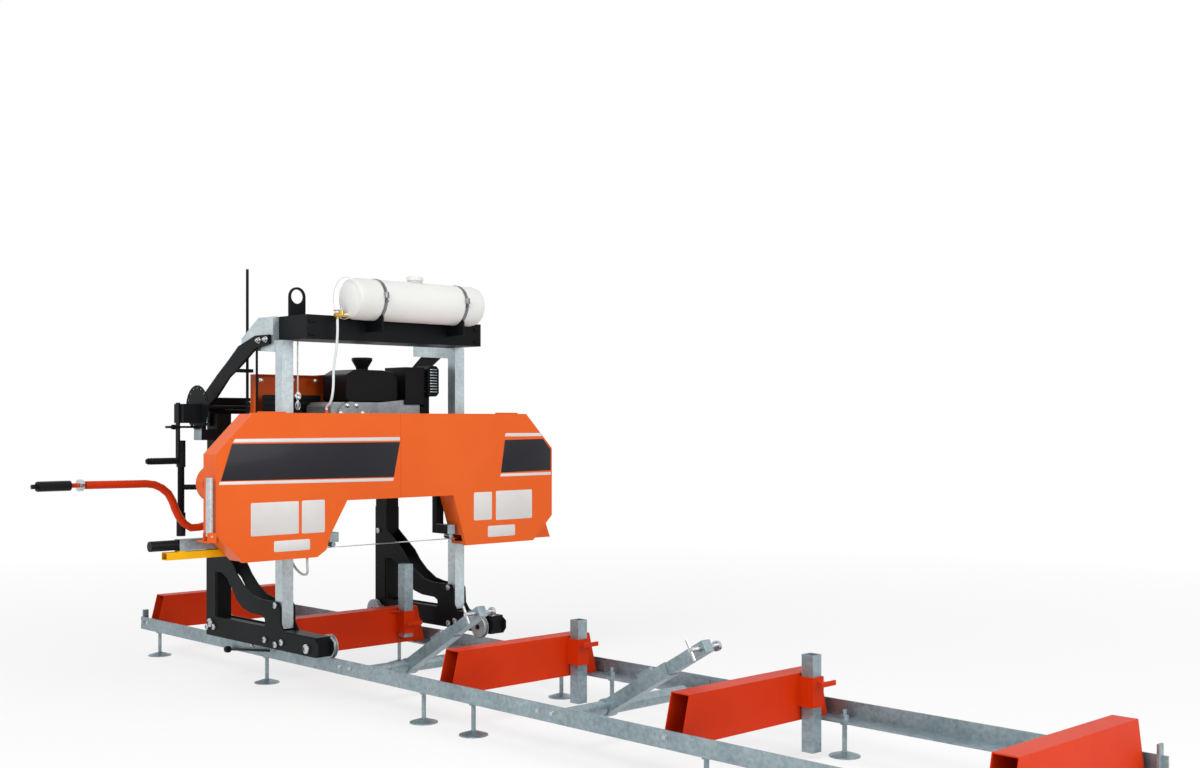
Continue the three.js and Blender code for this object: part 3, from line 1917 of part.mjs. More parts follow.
addPart(
  "engine_block",
  shape(
    [
      prism("x", crankcaseOutline, engine.back, engine.front),
      disc(
        "x", [engine.coverAcross, engine.coverHeight], engine.coverRadius,
        engine.front - fit, engine.coverFront, fuel.sides,
      ),
      block(
        engine.shroudBack, engine.shroudFront, engine.shroudFrom, engine.shroudTo,
        engine.shroudBottom, engine.shroudTop,
      ),
      block(
        engine.back + engine.footReach, engine.front - engine.footReach,
        crankcaseOutline[0][0] - engine.footReach, crankcaseOutline[1][0] + engine.footReach,
        engine.base, engine.base + engine.footTall,
      ),
    ],
    [
      disc(
        "x", [engine.across, engine.shaftHeight], boreFor(engine.shaftRadius, shaft.sides),
        engine.back - fit, engine.back + engine.shaftDeep + fit, shaft.sides,
      ),
      prism("x", fuelOutline, fuel.back, fuel.front),
    ],
  ),
  castGrey,
);
addPart(
  "engine_tank",
  shape([
    prism("x", fuelOutline.map(([y, z]) => [y, z + fit * 2]), fuel.back, fuel.front),
    turned(
      "z",
      [fuel.capX, fuel.capAcross],
      [
        [0, fuel.baseHeight],
        [fuel.capBase, fuel.baseHeight],
        [fuel.capBase, fuel.waist],
        [fuel.capTop, fuel.rim],
        [fuel.capTop, fuel.top],
        [0, fuel.top],
      ],
      fuel.sides,
    ),
  ]),
  blackPlastic,
);

const muffler = {
  back: -1080,
  front: -985,
  from: 326,
  to: 386,
  bottom: aboveBase(178),
  top: aboveBase(310),
  pipeBack: -1052,
  pipeFront: -1012,
  pipeBottom: aboveBase(94),
  flangeFrom: crankcaseEnd + fit,
  flangeTo: 312,
  flangeReach: 10,
  corner: 14,
};
const mufflerOutline = [
  [muffler.from, muffler.bottom],
  [muffler.to - muffler.corner, muffler.bottom],
  [muffler.to, muffler.bottom + muffler.corner],
  [muffler.to, muffler.top - muffler.corner],
  [muffler.to - muffler.corner, muffler.top],
  [muffler.from + muffler.corner, muffler.top],
  [muffler.from, muffler.top - muffler.corner],
];
addPart(
  "muffler",
  shape([
    prism("x", mufflerOutline, muffler.back, muffler.front),
    block(
      muffler.pipeBack, muffler.pipeFront, muffler.flangeFrom, muffler.from + muffler.corner * 2,
      muffler.pipeBottom, muffler.pipeBottom + muffler.pipeFront - muffler.pipeBack,
    ),
    block(
      muffler.pipeBack, muffler.pipeFront, muffler.from, muffler.from + muffler.corner * 2,
      muffler.pipeBottom, muffler.bottom + muffler.corner,
    ),
  ]),
  blackPaint,
);

const tension = {
  radius: 7.5,
  from: 650,
  to: 950,
  barAt: 936,
  barRadius: 6,
  barHalf: 48,
  collarRadius: 14,
  collarFrom: 724,
  collarTo: 740,
};
addPart(
  "tension_screw",
  shape([
    disc("y", [wheel.height, head.tensionX], tension.radius, tension.from, tension.to, valve.sides),
    disc("y", [wheel.height, head.tensionX], tension.collarRadius, tension.collarFrom, tension.collarTo, valve.sides),
    disc(
      "z", [head.tensionX, tension.barAt], tension.barRadius,
      wheel.height - tension.barHalf, wheel.height + tension.barHalf, foot.sides,
    ),
  ]),
  brightSteel,
);

const hoseSteps = 15;
const hoseSides = 6;
const hoseLead = 8;
const lubePath = [
  [cover.drainX, cover.drainAcross, cover.drainBottom - fit],
  [cover.drainX, cover.drainAcross, cover.drainBottom - hoseLead],
  [-792, -398, 508],
  [-806, -388, 487],
  [-842, -380, 474],
  [-888, -378, 484],
  [-930, -378, 514],
  [-955, -384, 570],
  [-957, -412, 640],
  [-957, -420, head.sleeveBottom - hoseLead],
  [-957, -420, head.sleeveBottom - fit],
];
addPart("lube_line", bentRod(lubePath, cover.barbRadius, hoseSides, hoseSteps), clearHose);

const hosePath = [
  [tank.x, valve.barbAcross, valve.barbBottom - fit],
  [tank.x, valve.barbAcross, valve.barbBottom - hoseLead],
  [-701, valve.barbAcross + 1, valve.barbBottom - 42],
  [-712, valve.barbAcross + 3, valve.barbBottom - 112],
  [-732, cover.barbAcross - 2, cover.barbTop + 166],
  [-742, cover.barbAcross - 1, cover.barbTop + 66],
  [-760, cover.barbAcross, cover.barbTop + 28],
  [cover.barbX, cover.barbAcross, cover.barbTop + hoseLead],
  [cover.barbX, cover.barbAcross, cover.barbTop + fit],
];
addPart("tank_hose", bentRod(hosePath, cover.barbRadius, hoseSides, hoseSteps), clearHose);

const hoist = {
  x: (head.lugBack + head.lugFront) / 2,
  across: -364,
  radius: 3,
  hookRadius: 4,
  hookFrom: 1128,
  hookTop: 1158,
  hookReach: 10,
  sleeveRadius: 6,
  sleeveTo: 1180,
};
addPart(
  "hoist_cable",
  shape([
    disc("z", [hoist.x, hoist.across], hoist.radius, hoist.hookTop - hoist.hookRadius, beam.bottom - fit, foot.sides),
    disc("z", [hoist.x, hoist.across], hoist.sleeveRadius, hoist.hookTop, hoist.sleeveTo, foot.sides),
    rod(
      [hoist.x, hoist.across, hoist.hookTop],
      [hoist.x, hoist.across, head.lugTop + fit * 2],
      hoist.hookRadius, foot.sides,
    ),
  ]),
  brightSteel,
);

export default sawmill;
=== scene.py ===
import bpy
import json
import math
from mathutils import Matrix, Vector

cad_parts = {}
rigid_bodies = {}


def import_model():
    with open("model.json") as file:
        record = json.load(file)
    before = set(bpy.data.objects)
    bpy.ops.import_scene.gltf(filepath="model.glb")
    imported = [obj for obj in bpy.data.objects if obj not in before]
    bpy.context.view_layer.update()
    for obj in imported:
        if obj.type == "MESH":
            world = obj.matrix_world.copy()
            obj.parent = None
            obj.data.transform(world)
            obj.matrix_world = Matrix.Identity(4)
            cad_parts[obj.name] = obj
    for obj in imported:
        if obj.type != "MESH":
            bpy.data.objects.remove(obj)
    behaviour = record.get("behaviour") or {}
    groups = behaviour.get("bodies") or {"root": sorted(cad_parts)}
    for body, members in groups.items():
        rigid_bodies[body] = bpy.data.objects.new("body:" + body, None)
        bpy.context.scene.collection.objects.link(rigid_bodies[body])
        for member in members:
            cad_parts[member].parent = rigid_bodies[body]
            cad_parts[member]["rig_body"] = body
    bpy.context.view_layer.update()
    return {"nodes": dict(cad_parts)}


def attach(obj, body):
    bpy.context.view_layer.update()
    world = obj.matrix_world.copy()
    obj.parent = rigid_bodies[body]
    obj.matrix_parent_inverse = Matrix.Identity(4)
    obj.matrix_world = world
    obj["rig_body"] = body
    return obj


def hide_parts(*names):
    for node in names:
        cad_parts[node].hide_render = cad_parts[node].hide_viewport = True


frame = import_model()
cadNodes = frame["nodes"]
mm = 0.001
print("frame loaded:", len(cadNodes), "nodes")


# selecting and shaping helpers
def alone(piece):
    if bpy.context.object and bpy.context.object.mode != "OBJECT":
        bpy.ops.object.mode_set(mode="OBJECT")
    bpy.ops.object.select_all(action="DESELECT")
    piece.select_set(True)
    bpy.context.view_layer.objects.active = piece


def editAll(piece):
    alone(piece)
    bpy.ops.object.mode_set(mode="EDIT")
    bpy.ops.mesh.select_all(action="SELECT")


def leaveEdit():
    bpy.ops.object.mode_set(mode="OBJECT")


def toOrigin(piece):
    alone(piece)
    bpy.ops.object.transform_apply(location=True, rotation=True, scale=True)


def smooth(piece, degrees=40):
    alone(piece)
    bpy.ops.object.shade_smooth_by_angle(angle=math.radians(degrees))


def softenEdges(piece, width, segments=2, degrees=32):
    alone(piece)
    edge = piece.modifiers.new("edge", "BEVEL")
    edge.width = width
    edge.segments = segments
    edge.limit_method = "ANGLE"
    edge.angle_limit = math.radians(degrees)
    edge.use_clamp_overlap = True
    bpy.ops.object.modifier_apply(modifier=edge.name)


def evenShading(piece):
    alone(piece)
    even = piece.modifiers.new("even", "WEIGHTED_NORMAL")
    even.keep_sharp = True
    bpy.ops.object.modifier_apply(modifier=even.name)


def finishPiece(piece, name, body, finishName):
    toOrigin(piece)
    smooth(piece)
    piece.name = name
    piece.data.name = name
    piece.data.materials.clear()
    piece.data.materials.append(materials[finishName])
    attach(piece, body)
    return piece


# camera at the photograph's place
photoCamera = {
    "place": (3.9, -3.366, 1.0745),
    "towards": (-0.719, 0.695, 0.0),
    "lens": 42.36,
    "film": 36.0,
    "shift": 0.03,
    "reach": 200.0,
}
cameraData = bpy.data.cameras.new("photoCamera")
cameraData.lens = photoCamera["lens"]
cameraData.sensor_width = photoCamera["film"]
cameraData.shift_y = photoCamera["shift"]
cameraData.clip_end = photoCamera["reach"]
camera = bpy.data.objects.new("photoCamera", cameraData)
camera.location = photoCamera["place"]
camera.rotation_euler = Vector(photoCamera["towards"]).to_track_quat("-Z", "Y").to_euler()
bpy.context.scene.collection.objects.link(camera)
bpy.context.scene.camera = camera
bpy.context.scene.view_settings.view_transform = "Standard"
print("camera set")


# shared effects: each is a node group that puts out colours and values only
def startGroup(name, inputs, outputs):
    group = bpy.data.node_groups.new(name, "ShaderNodeTree")
    for label, kind, value in inputs:
        socket = group.interface.new_socket(name=label, in_out="INPUT", socket_type=kind)
        socket.default_value = value
    for label, kind in outputs:
        group.interface.new_socket(name=label, in_out="OUTPUT", socket_type=kind)
    source = group.nodes.new("NodeGroupInput")
    sink = group.nodes.new("NodeGroupOutput")
    return group, source, sink


def addNoise(tree, scaleSocket, detail, roughness):
    noise = tree.nodes.new("ShaderNodeTexNoise")
    noise.inputs["Detail"].default_value = detail
    noise.inputs["Roughness"].default_value = roughness
    tree.links.new(scaleSocket, noise.inputs["Scale"])
    return noise


def spread(tree, valueSocket, low, high):
    ramp = tree.nodes.new("ShaderNodeMapRange")
    ramp.inputs["From Min"].default_value = low
    ramp.inputs["From Max"].default_value = high
    tree.links.new(valueSocket, ramp.inputs["Value"])
    return ramp


def mixColours(tree, factor, first, second):
    mix = tree.nodes.new("ShaderNodeMix")
    mix.data_type = "RGBA"
    tree.links.new(factor, mix.inputs["Factor"])
    tree.links.new(first, mix.inputs["A"])
    tree.links.new(second, mix.inputs["B"])
    return mix.outputs["Result"]


def mixValues(tree, factor, low, high):
    mix = tree.nodes.new("ShaderNodeMix")
    mix.data_type = "FLOAT"
    tree.links.new(factor, mix.inputs["Factor"])
    tree.links.new(low, mix.inputs["A"])
    tree.links.new(high, mix.inputs["B"])
    return mix.outputs["Result"]


grey = (0.5, 0.5, 0.5, 1.0)
paintPattern = {"patch": (4.0, 0.55), "grain": (2.0, 0.6), "low": 0.35, "high": 0.7}
zincPattern = {"cloud": (5.0, 0.6), "crystalShare": 0.45, "low": 0.3, "high": 0.9}
foamPattern = {"wear": (3.0, 0.5)}
surfaceInputs = [
    ("Place", "NodeSocketVector", (0.0, 0.0, 0.0)),
    ("Colour", "NodeSocketColor", grey),
    ("Shade", "NodeSocketColor", grey),
    ("Patch Scale", "NodeSocketFloat", 3.0),
    ("Grain Scale", "NodeSocketFloat", 600.0),
    ("Rough Low", "NodeSocketFloat", 0.35),
    ("Rough High", "NodeSocketFloat", 0.5),
]
surfaceOutputs = [
    ("Colour", "NodeSocketColor"),
    ("Roughness", "NodeSocketFloat"),
    ("Height", "NodeSocketFloat"),
]


def makePaintSkin():
    group, source, sink = startGroup("paintSkin", surfaceInputs, surfaceOutputs)
    patches = addNoise(group, source.outputs["Patch Scale"], *paintPattern["patch"])
    grain = addNoise(group, source.outputs["Grain Scale"], *paintPattern["grain"])
    for noise in (patches, grain):
        group.links.new(source.outputs["Place"], noise.inputs["Vector"])
    patchMask = spread(group, patches.outputs["Fac"], paintPattern["low"], paintPattern["high"])
    mixed = mixColours(
        group, patchMask.outputs["Result"], source.outputs["Colour"], source.outputs["Shade"]
    )
    rough = mixValues(
        group, patches.outputs["Fac"], source.outputs["Rough Low"], source.outputs["Rough High"]
    )
    group.links.new(mixed, sink.inputs["Colour"])
    group.links.new(rough, sink.inputs["Roughness"])
    group.links.new(grain.outputs["Fac"], sink.inputs["Height"])
    return group


def makeZincSkin():
    group, source, sink = startGroup("zincSkin", surfaceInputs, surfaceOutputs)
    crystals = group.nodes.new("ShaderNodeTexVoronoi")
    group.links.new(source.outputs["Place"], crystals.inputs["Vector"])
    group.links.new(source.outputs["Grain Scale"], crystals.inputs["Scale"])
    clouds = addNoise(group, source.outputs["Patch Scale"], *zincPattern["cloud"])
    group.links.new(source.outputs["Place"], clouds.inputs["Vector"])
    apart = group.nodes.new("ShaderNodeSeparateColor")
    group.links.new(crystals.outputs["Color"], apart.inputs["Color"])
    blend = group.nodes.new("ShaderNodeMath")
    blend.operation = "MULTIPLY_ADD"
    blend.inputs[1].default_value = zincPattern["crystalShare"]
    group.links.new(apart.outputs["Red"], blend.inputs[0])
    cloudMask = spread(group, clouds.outputs["Fac"], zincPattern["low"], zincPattern["high"])
    group.links.new(cloudMask.outputs["Result"], blend.inputs[2])
    mixed = mixColours(group, blend.outputs["Value"], source.outputs["Colour"], source.outputs["Shade"])
    rough = mixValues(
        group, apart.outputs["Green"], source.outputs["Rough Low"], source.outputs["Rough High"]
    )
    group.links.new(mixed, sink.inputs["Colour"])
    group.links.new(rough, sink.inputs["Roughness"])
    group.links.new(clouds.outputs["Fac"], sink.inputs["Height"])
    return group


def makeFoamSkin():
    group, source, sink = startGroup("foamSkin", surfaceInputs, surfaceOutputs)
    cells = group.nodes.new("ShaderNodeTexVoronoi")
    cells.feature = "DISTANCE_TO_EDGE"
    group.links.new(source.outputs["Place"], cells.inputs["Vector"])
    group.links.new(source.outputs["Grain Scale"], cells.inputs["Scale"])
    wear = addNoise(group, source.outputs["Patch Scale"], *foamPattern["wear"])
    group.links.new(source.outputs["Place"], wear.inputs["Vector"])
    mixed = mixColours(group, wear.outputs["Fac"], source.outputs["Colour"], source.outputs["Shade"])
    rough = mixValues(
        group, wear.outputs["Fac"], source.outputs["Rough Low"], source.outputs["Rough High"]
    )
    group.links.new(mixed, sink.inputs["Colour"])
    group.links.new(rough, sink.inputs["Roughness"])
    group.links.new(cells.outputs["Distance"], sink.inputs["Height"])
    return group


skins = {"paint": makePaintSkin(), "zinc": makeZincSkin(), "foam": makeFoamSkin()}


def toLinear(channel):
    share = channel / 255.0
    return share / 12.92 if share <= 0.04045 else ((share + 0.055) / 1.055) ** 2.4


def colour(red, green, blue):
    return (toLinear(red), toLinear(green), toLinear(blue), 1.0)


finishes = {
    # the posts' zinc: a lighter copy of the galvanised zinc, painted light
    "postZincPaintedLight": {"skin": "zinc", "colour": (205, 216, 219), "shade": (170, 185, 190),
                 "patch": 9.0, "grain": 110.0, "rough": (0.3, 0.46), "metallic": 0.7,
                 "coat": 0.0, "gloss": 0.5, "bump": 0.03, "slot": "galvanised"},
    # the straps' steel: a darker copy of the bright steel, painted dark reflection
    "strapSteelPaintedReflection": {"skin": "zinc", "colour": (142, 145, 147), "shade": (96, 99, 102),
                   "patch": 40.0, "grain": 500.0, "rough": (0.14, 0.24), "metallic": 1.0,
                   "coat": 0.0, "gloss": 0.5, "bump": 0.01, "slot": "bright_steel"},
    "coverPaint": {"skin": "paint", "colour": (228, 99, 33), "shade": (221, 90, 27),
                   "patch": 1.6, "grain": 700.0, "rough": (0.32, 0.42), "metallic": 0.0,
                   "coat": 0.06, "gloss": 0.15, "bump": 0.05, "slot": "cover_orange"},
    "framePaint": {"skin": "paint", "colour": (205, 52, 6), "shade": (190, 43, 3),
                   "patch": 2.5, "grain": 500.0, "rough": (0.38, 0.5), "metallic": 0.0,
                   "coat": 0.0, "gloss": 0.12, "bump": 0.08, "slot": "frame_orange"},
    "zinc": {"skin": "zinc", "colour": (164, 179, 184), "shade": (122, 139, 146),
             "patch": 7.0, "grain": 90.0, "rough": (0.34, 0.52), "metallic": 0.75,
             "coat": 0.0, "gloss": 0.5, "bump": 0.04, "slot": "galvanised"},
    "blackPaint": {"skin": "paint", "colour": (20, 22, 24), "shade": (14, 16, 17),
                   "patch": 3.0, "grain": 600.0, "rough": (0.38, 0.5), "metallic": 0.0,
                   "coat": 0.0, "gloss": 0.08, "bump": 0.1, "slot": "black_paint"},
    "blackPlastic": {"skin": "paint", "colour": (20, 22, 25), "shade": (15, 16, 18),
                     "patch": 4.0, "grain": 1200.0, "rough": (0.3, 0.42), "metallic": 0.0,
                     "coat": 0.0, "gloss": 0.12, "bump": 0.06, "slot": "black_plastic"},
    "foam": {"skin": "foam", "colour": (34, 34, 36), "shade": (24, 24, 26),
             "patch": 20.0, "grain": 1400.0, "rough": (0.85, 0.95), "metallic": 0.0,
             "coat": 0.0, "gloss": 0.15, "bump": 0.25, "slot": "foam"},
    "steel": {"skin": "zinc", "colour": (214, 217, 219), "shade": (172, 176, 180),
              "patch": 30.0, "grain": 500.0, "rough": (0.2, 0.34), "metallic": 1.0,
              "coat": 0.0, "gloss": 0.5, "bump": 0.02, "slot": "bright_steel"},
    "tankPlastic": {"skin": "paint", "colour": (229, 229, 226), "shade": (218, 219, 216),
                    "patch": 2.0, "grain": 400.0, "rough": (0.35, 0.45), "metallic": 0.0,
                    "coat": 0.1, "gloss": 0.25, "bump": 0.06, "slot": "white_tank"},
    "yellowPaint": {"skin": "paint", "colour": (240, 182, 4), "shade": (228, 168, 0),
                    "patch": 3.0, "grain": 600.0, "rough": (0.35, 0.45), "metallic": 0.0,
                    "coat": 0.05, "gloss": 0.12, "bump": 0.06, "slot": "yellow"},
    "brass": {"skin": "zinc", "colour": (214, 178, 92), "shade": (180, 140, 64),
              "patch": 25.0, "grain": 300.0, "rough": (0.25, 0.4), "metallic": 1.0,
              "coat": 0.0, "gloss": 0.5, "bump": 0.03, "slot": "brass"},
    "hose": {"skin": "paint", "colour": (222, 228, 230), "shade": (196, 204, 208),
             "patch": 12.0, "grain": 300.0, "rough": (0.18, 0.3), "metallic": 0.0,
             "coat": 0.3, "gloss": 0.5, "bump": 0.02, "slot": "hose"},
    "belt": {"skin": "foam", "colour": (28, 28, 29), "shade": (38, 37, 36),
             "patch": 10.0, "grain": 900.0, "rough": (0.7, 0.85), "metallic": 0.0,
             "coat": 0.0, "gloss": 0.2, "bump": 0.12, "slot": "belt"},
    "castMetal": {"skin": "zinc", "colour": (176, 181, 184), "shade": (128, 133, 137),
                  "patch": 14.0, "grain": 260.0, "rough": (0.38, 0.6), "metallic": 0.9,
                  "coat": 0.0, "gloss": 0.5, "bump": 0.12, "slot": "cast"},
    "blackBand": {"skin": "paint", "colour": (40, 40, 45), "shade": (35, 35, 40),
                  "patch": 3.0, "grain": 900.0, "rough": (0.3, 0.38), "metallic": 0.0,
                  "coat": 0.05, "gloss": 0.12, "bump": 0.02, "slot": "black_paint"},
    "paleVinyl": {"skin": "paint", "colour": (216, 213, 211), "shade": (206, 203, 201),
                  "patch": 5.0, "grain": 900.0, "rough": (0.32, 0.4), "metallic": 0.0,
                  "coat": 0.2, "gloss": 0.3, "bump": 0.02, "slot": "white_tank"},
}


def makeMaterial(name, finish):
    material = bpy.data.materials.new(name)
    material.use_nodes = True
    tree = material.node_tree
    shader = tree.nodes["Principled BSDF"]
    place = tree.nodes.new("ShaderNodeTexCoord")
    skin = tree.nodes.new("ShaderNodeGroup")
    skin.node_tree = skins[finish["skin"]]
    skin.inputs["Colour"].default_value = colour(*finish["colour"])
    skin.inputs["Shade"].default_value = colour(*finish["shade"])
    skin.inputs["Patch Scale"].default_value = finish["patch"]
    skin.inputs["Grain Scale"].default_value = finish["grain"]
    skin.inputs["Rough Low"].default_value, skin.inputs["Rough High"].default_value = finish["rough"]
    bump = tree.nodes.new("ShaderNodeBump")
    bump.inputs["Strength"].default_value = finish["bump"]
    bump.inputs["Distance"].default_value = mm
    shader.inputs["Metallic"].default_value = finish["metallic"]
    shader.inputs["Coat Weight"].default_value = finish["coat"]
    shader.inputs["Specular IOR Level"].default_value = finish["gloss"]
    tree.links.new(place.outputs["Object"], skin.inputs["Place"])
    tree.links.new(skin.outputs["Colour"], shader.inputs["Base Color"])
    tree.links.new(skin.outputs["Roughness"], shader.inputs["Roughness"])
    tree.links.new(skin.outputs["Height"], bump.inputs["Height"])
    tree.links.new(bump.outputs["Normal"], shader.inputs["Normal"])
    return material


materials = {name: makeMaterial(name, finish) for name, finish in finishes.items()}
print("materials made:", len(materials))


# every other CAD node gets a copy with merged corners, soft edges and its own finish
nodeLooks = {
    "rail_front_far": ("zinc", 0.8), "rail_front_near": ("zinc", 0.8),
    "rail_rear_far": ("zinc", 0.8), "rail_rear_near": ("zinc", 0.8),
    "bunk_1": ("framePaint", 1.5), "bunk_2": ("framePaint", 1.5), "bunk_3": ("framePaint", 1.5),
    "bunk_4": ("framePaint", 1.5), "bunk_5": ("framePaint", 1.5),
    "cross_tube_far": ("zinc", 0.8), "cross_tube_near": ("zinc", 0.8),
    "side_frame_front": ("blackPaint", 1.2), "side_frame_rear": ("blackPaint", 1.2),
    # the posts take the lighter zinc copy, painted light
    "post_front": ("postZincPaintedLight", 1.5), "post_rear": ("postZincPaintedLight", 1.5),
    "top_beam": ("blackPaint", 1.8), "brace_front": ("blackPaint", 1.2),
    "brace_rear": ("blackPaint", 1.2), "lube_tank": ("tankPlastic", 1.5),
    "index_plate": ("blackPaint", 0.5), "push_bar": ("framePaint", 0.8),
    "handle_post": ("blackPaint", 0.8), "head_frame": ("blackPaint", 1.2),
    "cover_back": ("coverPaint", 0.8), "saw_band": ("steel", 0.0),
    "engine_block": ("castMetal", 2.0), "engine_tank": ("blackPlastic", 4.0),
    "muffler": ("blackPaint", 2.5), "belt_guard": ("coverPaint", 1.0),
    "drive_belt": ("belt", 0.5), "guide_arm": ("zinc", 1.0),
    "blade_guard": ("yellowPaint", 1.5), "track_wheel_front_near": ("castMetal", 0.8),
    "track_wheel_front_far": ("castMetal", 0.8), "track_wheel_rear_near": ("castMetal", 0.8),
    "track_wheel_rear_far": ("castMetal", 0.8), "winch_crank": ("blackPaint", 0.8),
    "crank_grip": ("blackPlastic", 1.5), "index_pin": ("blackPaint", 0.5),
    "door_left": ("coverPaint", 1.6), "door_right": ("coverPaint", 1.6),
    "drive_wheel": ("castMetal", 1.0), "idler_wheel": ("castMetal", 1.0),
    "engine_pulley": ("castMetal", 0.6), "lock_lever": ("steel", 0.8),
    "tension_screw": ("steel", 0.6), "tank_cap": ("tankPlastic", 1.5),
    "tank_valve": ("steel", 0.6), "log_rest_2": ("zinc", 1.2), "log_rest_3": ("zinc", 1.2),
    "log_rest_4": ("zinc", 1.2), "clamp_arm_far": ("zinc", 1.0), "clamp_slide_far": ("zinc", 1.0),
    "clamp_screw_far": ("steel", 0.8), "clamp_arm_near": ("zinc", 1.0),
    "clamp_slide_near": ("zinc", 1.0), "clamp_screw_near": ("steel", 0.8),
}
# parts of a node with a finish of their own: a box in millimetres and the finish inside it
finishAreas = {
    "lube_tank": [("brass", (-760, -640), (-340, -288), (1450, 1500))],
    "push_bar": [("blackPlastic", (-1600, -1300), (-1200, -1038), (600, 1000)),
                 ("steel", (-1600, -1300), (-1012, -988), (600, 1000))],
    "handle_post": [("foam", (-1540, -1470), (-590, -530), (878, 992)),
                    ("foam", (-1540, -1470), (-590, -530), (593, 694))],
    "engine_block": [("blackPlastic", (-1160, -990), (216, 320), (1100, 1310)),
                     ("blackPlastic", (-1200, -1100), (-80, 200), (1150, 1310))],
    "winch_crank": [("steel", (-1440, -1370), (-302, -248), (1090, 1160))],
    "lock_lever": [("blackPlastic", (-800, -700), (-900, -780), (810, 900))],
    "guide_arm": [("blackPlastic", (-900, -800), (-1020, -904), (560, 680))],
    "side_frame_front": [("zinc", (-1440, -1360), (-560, -500), (990, 1160))],
    "head_frame": [("zinc", (-870, -740), (250, 304), (590, 645))],
}


def faceCentre(mesh, face):
    total = Vector((0.0, 0.0, 0.0))
    for corner in face.vertices:
        total += mesh.vertices[corner].co
    return total / len(face.vertices)


def paintAreas(piece, areas):
    for finishName, xSpan, ySpan, zSpan in areas:
        piece.data.materials.append(materials[finishName])
        number = len(piece.data.materials) - 1
        for face in piece.data.polygons:
            spot = faceCentre(piece.data, face) / mm
            inside = all(
                low <= value <= high for value, (low, high) in zip(spot, (xSpan, ySpan, zSpan))
            )
            if inside:
                face.material_index = number


dressing = {"weld": 0.02, "flatDegrees": 1.0, "smoothDegrees": 42}


def dressNode(nodeName):
    finishName, edgeWidth = nodeLooks[nodeName]
    source = cadNodes[nodeName]
    piece = source.copy()
    piece.data = source.data.copy()
    for key in list(piece.keys()):
        del piece[key]
    piece.name = nodeName + ".dressed"
    piece.parent = None
    bpy.context.scene.collection.objects.link(piece)
    editAll(piece)
    bpy.ops.mesh.remove_doubles(threshold=dressing["weld"] * mm)
    bpy.ops.mesh.customdata_custom_splitnormals_clear()
    bpy.ops.mesh.dissolve_limited(angle_limit=math.radians(dressing["flatDegrees"]))
    leaveEdit()
    if edgeWidth:
        softenEdges(piece, edgeWidth * mm)
    smooth(piece, dressing["smoothDegrees"])
    if edgeWidth:
        evenShading(piece)
    piece.data.materials.clear()
    piece.data.materials.append(materials[finishName])
    paintAreas(piece, finishAreas.get(nodeName, []))
    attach(piece, source["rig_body"])
    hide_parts(nodeName)
    return piece


dressed = {nodeName: dressNode(nodeName) for nodeName in nodeLooks}
print("nodes dressed:", len(dressed))


# flat pieces, bolts and other details that the solids don't carry
sideOn = Matrix(((0.0, 0.0, 1.0), (1.0, 0.0, 0.0), (0.0, 1.0, 0.0))).to_4x4()


def flatPiece(outline, thick, edge):
    bpy.ops.mesh.primitive_circle_add(vertices=len(outline), radius=0.01, fill_type="NGON")
    piece = bpy.context.object
    for vertex, (u, v) in zip(piece.data.vertices, outline):
        vertex.co = (u * mm, v * mm, 0.0)
    editAll(piece)
    bpy.ops.mesh.extrude_region_move(TRANSFORM_OT_translate={"value": (0.0, 0.0, thick * mm)})
    bpy.ops.mesh.select_all(action="SELECT")
    bpy.ops.mesh.normals_make_consistent(inside=False)
    leaveEdit()
    softenEdges(piece, edge * mm)
    return piece


def turnTo(direction):
    return Vector(direction).to_track_quat("Z", "Y").to_matrix().to_4x4()


def setDown(piece, place, direction=(0.0, 0.0, 1.0), spin=0.0):
    spun = Matrix.Rotation(math.radians(spin), 4, "Z")
    piece.matrix_world = Matrix.Translation(Vector(place) * mm) @ turnTo(direction) @ spun
    return piece


def copyOf(piece):
    made = piece.copy()
    made.data = piece.data.copy()
    bpy.context.scene.collection.objects.link(made)
    return made


def joinAll(pieces):
    for piece in pieces:
        toOrigin(piece)
    alone(pieces[0])
    for piece in pieces[1:]:
        piece.select_set(True)
    if len(pieces) > 1:
        bpy.ops.object.join()
    return bpy.context.object


def bar(radius, length, sides=24, edge=0.5):
    bpy.ops.mesh.primitive_cylinder_add(
        vertices=sides, radius=radius * mm, depth=length * mm, location=(0.0, 0.0, length * mm / 2)
    )
    piece = bpy.context.object
    toOrigin(piece)
    softenEdges(piece, edge * mm)
    return piece


def ringPiece(radius, thick, sides=32, turns=10):
    bpy.ops.mesh.primitive_torus_add(
        major_radius=radius * mm, minor_radius=thick * mm, major_segments=sides, minor_segments=turns
    )
    return bpy.context.object


# free hoses and the hoist cable, each on the route of its solid, in millimetres
cords = {
    "tank_hose": {
        "route": [(-700, -322, 1461.7), (-700, -322, 1454), (-701, -321, 1420), (-712, -319, 1350),
                  (-732, -317, 1280), (-742, -316, 1180), (-760, -315, 1142), (-785, -315, 1122),
                  (-785, -315, 1114.3)],
        "width": 10.0, "length": 369.0, "stiffness": "medium", "lay": "hanging", "finish": "hose",
    },
    "lube_line": {
        "route": [(-790, -400, 540.7), (-790, -400, 533), (-792, -398, 508), (-806, -388, 487),
                  (-842, -380, 474), (-888, -378, 484), (-930, -378, 514), (-955, -384, 570),
                  (-957, -412, 640), (-957, -420, 672), (-957, -420, 679.7)],
        "width": 10.0, "length": 379.5, "stiffness": "medium", "lay": "hanging", "finish": "hose",
    },
    "hoist_cable": {
        "route": [(-915, -364, 1384.7), (-915, -364, 1300), (-915, -364, 1220), (-915, -364, 1154)],
        "width": 6.0, "length": 230.7, "stiffness": "stiff", "lay": "taut", "finish": "steel",
    },
}

cordFineness = {"round": 5, "along": 10}


